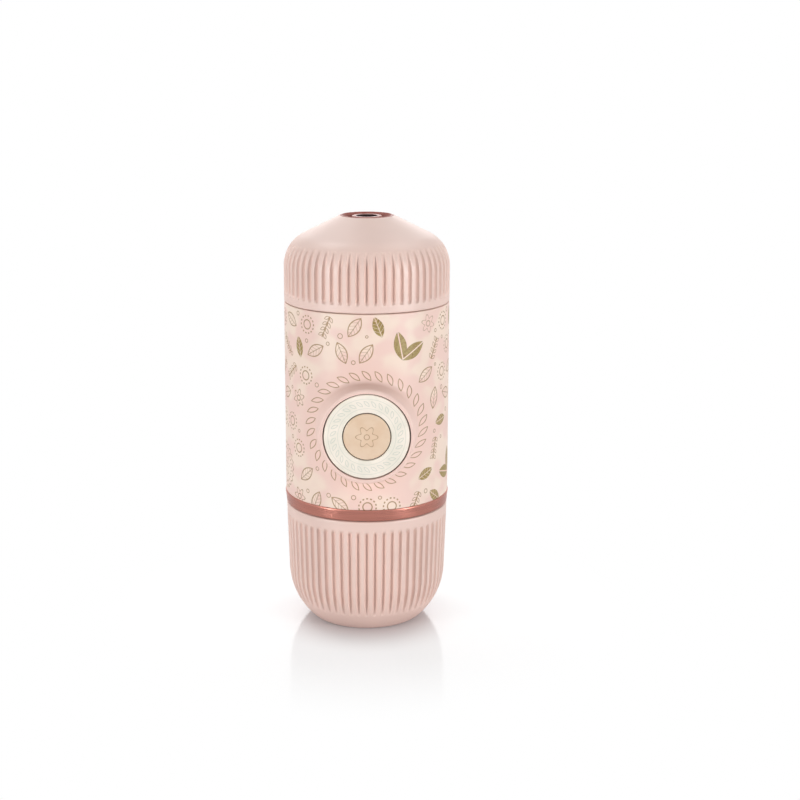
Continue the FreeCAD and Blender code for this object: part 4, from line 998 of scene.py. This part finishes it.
def make_tank():
    """Water tank with its round bottom, grip groove and threaded neck."""
    low, high = span("water_tank")
    groove, groove_low, groove_high = 26.7, 39.0, 41.0
    outer, neck, neck_bore, wall, bend, shoulder = 27.8, 26.3, 24.4, 2.0, 12.0, 45.6
    side = eased([(outer, low + bend), (outer, groove_low, 0.2), (groove, groove_low),
                  (groove, groove_high), (outer, groove_high, 0.2), (outer, shoulder, 0.5),
                  (neck, shoulder, 0.3), (neck, high, 0.4), (neck_bore, high, 0.4),
                  (neck_bore, shoulder - wall, 1.0), (outer - wall, shoulder - 2 * wall, 1.0),
                  (outer - wall, low + bend)])
    centre = (outer - bend, low + bend)
    chain = joined([[0, low]], arc(centre, bend, -90, 0, 18), fine(side, 0.8),
                   arc(centre, bend - wall, 0, -90, 12), [[0, low + wall]])
    turned_node("water_tank", chain, columns=240, closed=False,
                carve=thread(neck, shoulder + 0.8, high - 0.4))


def make_seals():
    """The soft rings: O-ring for the cup, tank seal, basket gasket and seat ring."""
    section = arc((27.6, 40.0), 0.85, 0, 360, 20)[:-1]
    turned_node("cup_grip_ring", section, columns=240)
    flat = ("tank_seal", 24.3, 26.3), ("basket_gasket", 22.5, 25.2), ("basket_seat_ring", 20.9, 25.2)
    for node, inner, outer in flat:
        low, high = span(node)
        corners = (inner, low), (outer, low), (outer, high), (inner, high)
        chain = eased([(*corner, 0.3) for corner in corners])
        turned_node(node, chain, columns=240)


def make_neck():
    """Upper bulkhead: plate, threaded neck, screen ledge and screw boss."""
    low, high = span("brew_neck")
    plate, neck, bore, ledge = low + 2.5, 25.5, 22.5, high - 1.7
    lip, boss = bore - 1.6, 3.4
    corners = [(0, low), (INNER_RADIUS, low, 0.3), (INNER_RADIUS, plate, 0.3), (neck, plate, 0.8),
               (neck, high, 0.4), (bore, high, 0.4), (bore, ledge), (lip, ledge, 0.2),
               (lip, plate, 0.8), (boss, plate, 0.8), (boss, ledge, 0.2), (0, ledge)]
    open_node("brew_neck", corners, 0.8, columns=240, carve=thread(neck, plate + 1.6, high - 0.5))


def make_head_core():
    """Inner part of the head with its threaded bore, chamber and funnel."""
    low, high = span("head_core")
    bore, chamber, outer, wall = 25.8, 20.9, 28.8, 1.6
    ledge = span("basket_seat_ring")[1] + 0.3
    shelf, chamber_outer = ledge + wall, chamber + wall
    eave = span("filter_basket")[1] + 0.6
    outer_eave = high - (chamber_outer - SPOUT_RIM) * CONE_FALL - 0.34
    chain = eased([(bore, low, 0.4), (outer, low, 0.4), (outer, shelf, 0.4), (chamber_outer, shelf),
                   (chamber_outer, outer_eave, 0.5), (SPOUT_RIM, high), (NOZZLE_RADIUS, high),
                   (NOZZLE_RADIUS, high - wall, 0.3), (chamber, eave, 0.6), (chamber, ledge, 0.3),
                   (bore, ledge, 0.3)])
    turned_node("head_core", fine(chain, 1.0, closed=True), columns=240,
                carve=thread(bore, low + 0.8, ledge - 1.0, outside=False))


def make_basket():
    """Steel coffee basket, mouth down: rolled flange, rounded wall and perforated floor."""
    low, high = span("filter_basket")
    inner, outer, flange, sheet = 19.5, 20.1, 25.2, 0.6
    flange_top = low + 0.8
    corners = [(0, high), (outer, high, 0.9), (outer, flange_top, 0.25), (flange, flange_top, 0.3),
               (flange, low, 0.3), (inner, low, 0.6), (inner, high - sheet, 0.5), (0, high - sheet)]
    open_node("filter_basket", corners, 1.5, finish="screen_steel")


def make_screen():
    """Perforated shower screen with a turned edge, open in the middle for its screw."""
    low, high = span("shower_screen")
    bore, outer, edge, sheet = 1.2, 22.2, 21.4, high - 0.25
    chain = eased([(bore, low), (outer, low, 0.25), (outer, high, 0.25), (edge, high, 0.2),
                   (edge - 0.2, sheet, 0.2), (bore, sheet)])
    turned_node("shower_screen", fine(chain, 1.5, closed=True), finish="screen_steel")


def make_socket():
    """Lower bulkhead with the threaded skirt."""
    low, high = span("tank_socket")
    bore, plate = 26.6, 55.7
    corners = [(0, plate), (bore, plate, 0.4), (bore, low, 0.4), (INNER_RADIUS, low, 0.4),
               (INNER_RADIUS, high, 0.4), (0, high)]
    open_node("tank_socket", corners, 1.0, columns=240,
              carve=thread(bore, low + 0.8, plate - 2.0, outside=False))


make_tank()
make_seals()
make_neck()
make_basket()
make_screen()
make_head_core()
make_socket()


# --- Frame nodes that keep their own mesh ---

def finish_frame_nodes():
    """Gives the frame's remaining nodes the finish of their record slot."""
    for node, obj in frame["nodes"].items():
        for slot in obj.material_slots:
            slot.material = FINISHES[SLOTS[node]]


finish_frame_nodes()


# --- Floor, light and camera ---

CAMERA_DISTANCE = 587.129
CAMERA_HEIGHT = 226.106
CAMERA_PITCH = math.radians(13.521)
FOCAL_PIXELS = 1583.504
PICTURE_SIDE = 800
AXIS_COLUMN = 366.792
SENSOR = 36.0
LAMP_AIM = 80.0


def make_floor():
    """Pale polished floor: a disc that fades into white a little way out and stays under the cup,
    with a painted contact shadow round the cup's foot.
    """
    finish = Finish("pale_floor")
    place = finish.place()
    x, y, _ = finish.parts(place)
    reach = length(x, y)
    cloud = finish.noise(place, 0.01, 2.0, 0.5)
    pale = finish.mix(cloud, paint(244, 242, 243), paint(248, 246, 247))
    # Painted shadow: the floor's colour is darker within about 18 to 46 mm of the cup's axis
    shade = finish.mix(reach.ramp(18.0, 46.0), paint(206, 197, 199), pale)
    finish.set(Base_Color=shade, Roughness=0.12)
    white = finish.node("ShaderNodeEmission", inputs={"Color": (1, 1, 1, 1)})
    seen = finish.node("ShaderNodeLightPath", output="Is Camera Ray")
    polished = Value(finish, finish.shader.outputs["BSDF"])
    share = seen * (reach.ramp(16.0, 46.0) * 0.6 + reach.ramp(40.0, 105.0) * 0.3 + 0.1)
    fade = finish.node("ShaderNodeMixShader", inputs={0: share, 1: polished, 2: white})
    finish.feed(finish.nodes["Material Output"].inputs["Surface"], fade)
    radius, rings, spokes = 2.5, 48, 96
    angle = np.arange(spokes) * TURN / spokes
    out = np.linspace(0, 1, rings)[:, None] ** 2 * radius
    points = np.broadcast_arrays(out * np.cos(angle), out * np.sin(angle), 0.0)
    faces = grid_faces(rings, spokes, False)
    floor = piece("floor", np.stack(points, axis=-1), faces, finish.material)
    under_cup = floor.constraints.new("COPY_LOCATION")
    under_cup.target = bpy.data.objects["cup_turned"]
    under_cup.use_x = under_cup.use_y = False


def make_world():
    """Even white surroundings, seen at full strength and lighting at a softer one."""
    studio = Finish("studio", bpy.data.worlds, "Background")
    rays = ("Is Camera Ray", "Is Glossy Ray", "Is Transmission Ray")
    first, second, third = [studio.node("ShaderNodeLightPath", output=ray) for ray in rays]
    seen = first.maths("MAXIMUM", second).maths("MAXIMUM", third)
    lighting = 0.15
    strength = studio.node("ShaderNodeMapRange", inputs={"Value": seen, "To Min": lighting})
    scene.world = studio.set(Color=(1, 1, 1, 1), Strength=strength)


def make_lamp(name, place, width, height, watts):
    """An upright soft box at a place in metres, which looks at the middle of the object."""
    lamp = bpy.data.lights.new(name, "AREA")
    lamp.shape = "RECTANGLE"
    lamp.size = width
    lamp.size_y = height
    lamp.energy = watts
    obj = bpy.data.objects.new(name, lamp)
    scene.collection.objects.link(obj)
    x, y, z = obj.location = place
    obj.rotation_euler = (math.atan2(math.hypot(x, y), z - LAMP_AIM * MM), 0, math.atan2(x, -y))


def make_camera():
    """Camera of the view: a little above the object, looking slightly down at it."""
    camera = bpy.data.cameras.new("view")
    camera.sensor_width = SENSOR
    camera.lens = SENSOR * FOCAL_PIXELS / PICTURE_SIDE
    camera.shift_x = (PICTURE_SIDE / 2 - AXIS_COLUMN) / PICTURE_SIDE
    obj = bpy.data.objects.new("view", camera)
    obj.location = (0, -CAMERA_DISTANCE * MM, CAMERA_HEIGHT * MM)
    obj.rotation_euler = (math.pi / 2 - CAMERA_PITCH, 0, 0)
    scene.collection.objects.link(obj)
    scene.camera = obj


make_floor()
make_world()
make_lamp("left_box", (-0.87, -0.68, 0.25), 0.25, 0.45, 6.1)
make_lamp("right_box", (0.89, -0.64, 0.24), 0.25, 0.45, 6.5)
make_lamp("left_top_box", (-0.36, 0.3, 0.95), 0.35, 0.35, 2.3)
make_lamp("right_top_box", (0.38, 0.3, 0.95), 0.35, 0.35, 1.5)
make_lamp("back_box", (0.0, 1.1, 0.58), 0.8, 0.56, 3.3)
make_camera()
scene.view_settings.view_transform = "Standard"
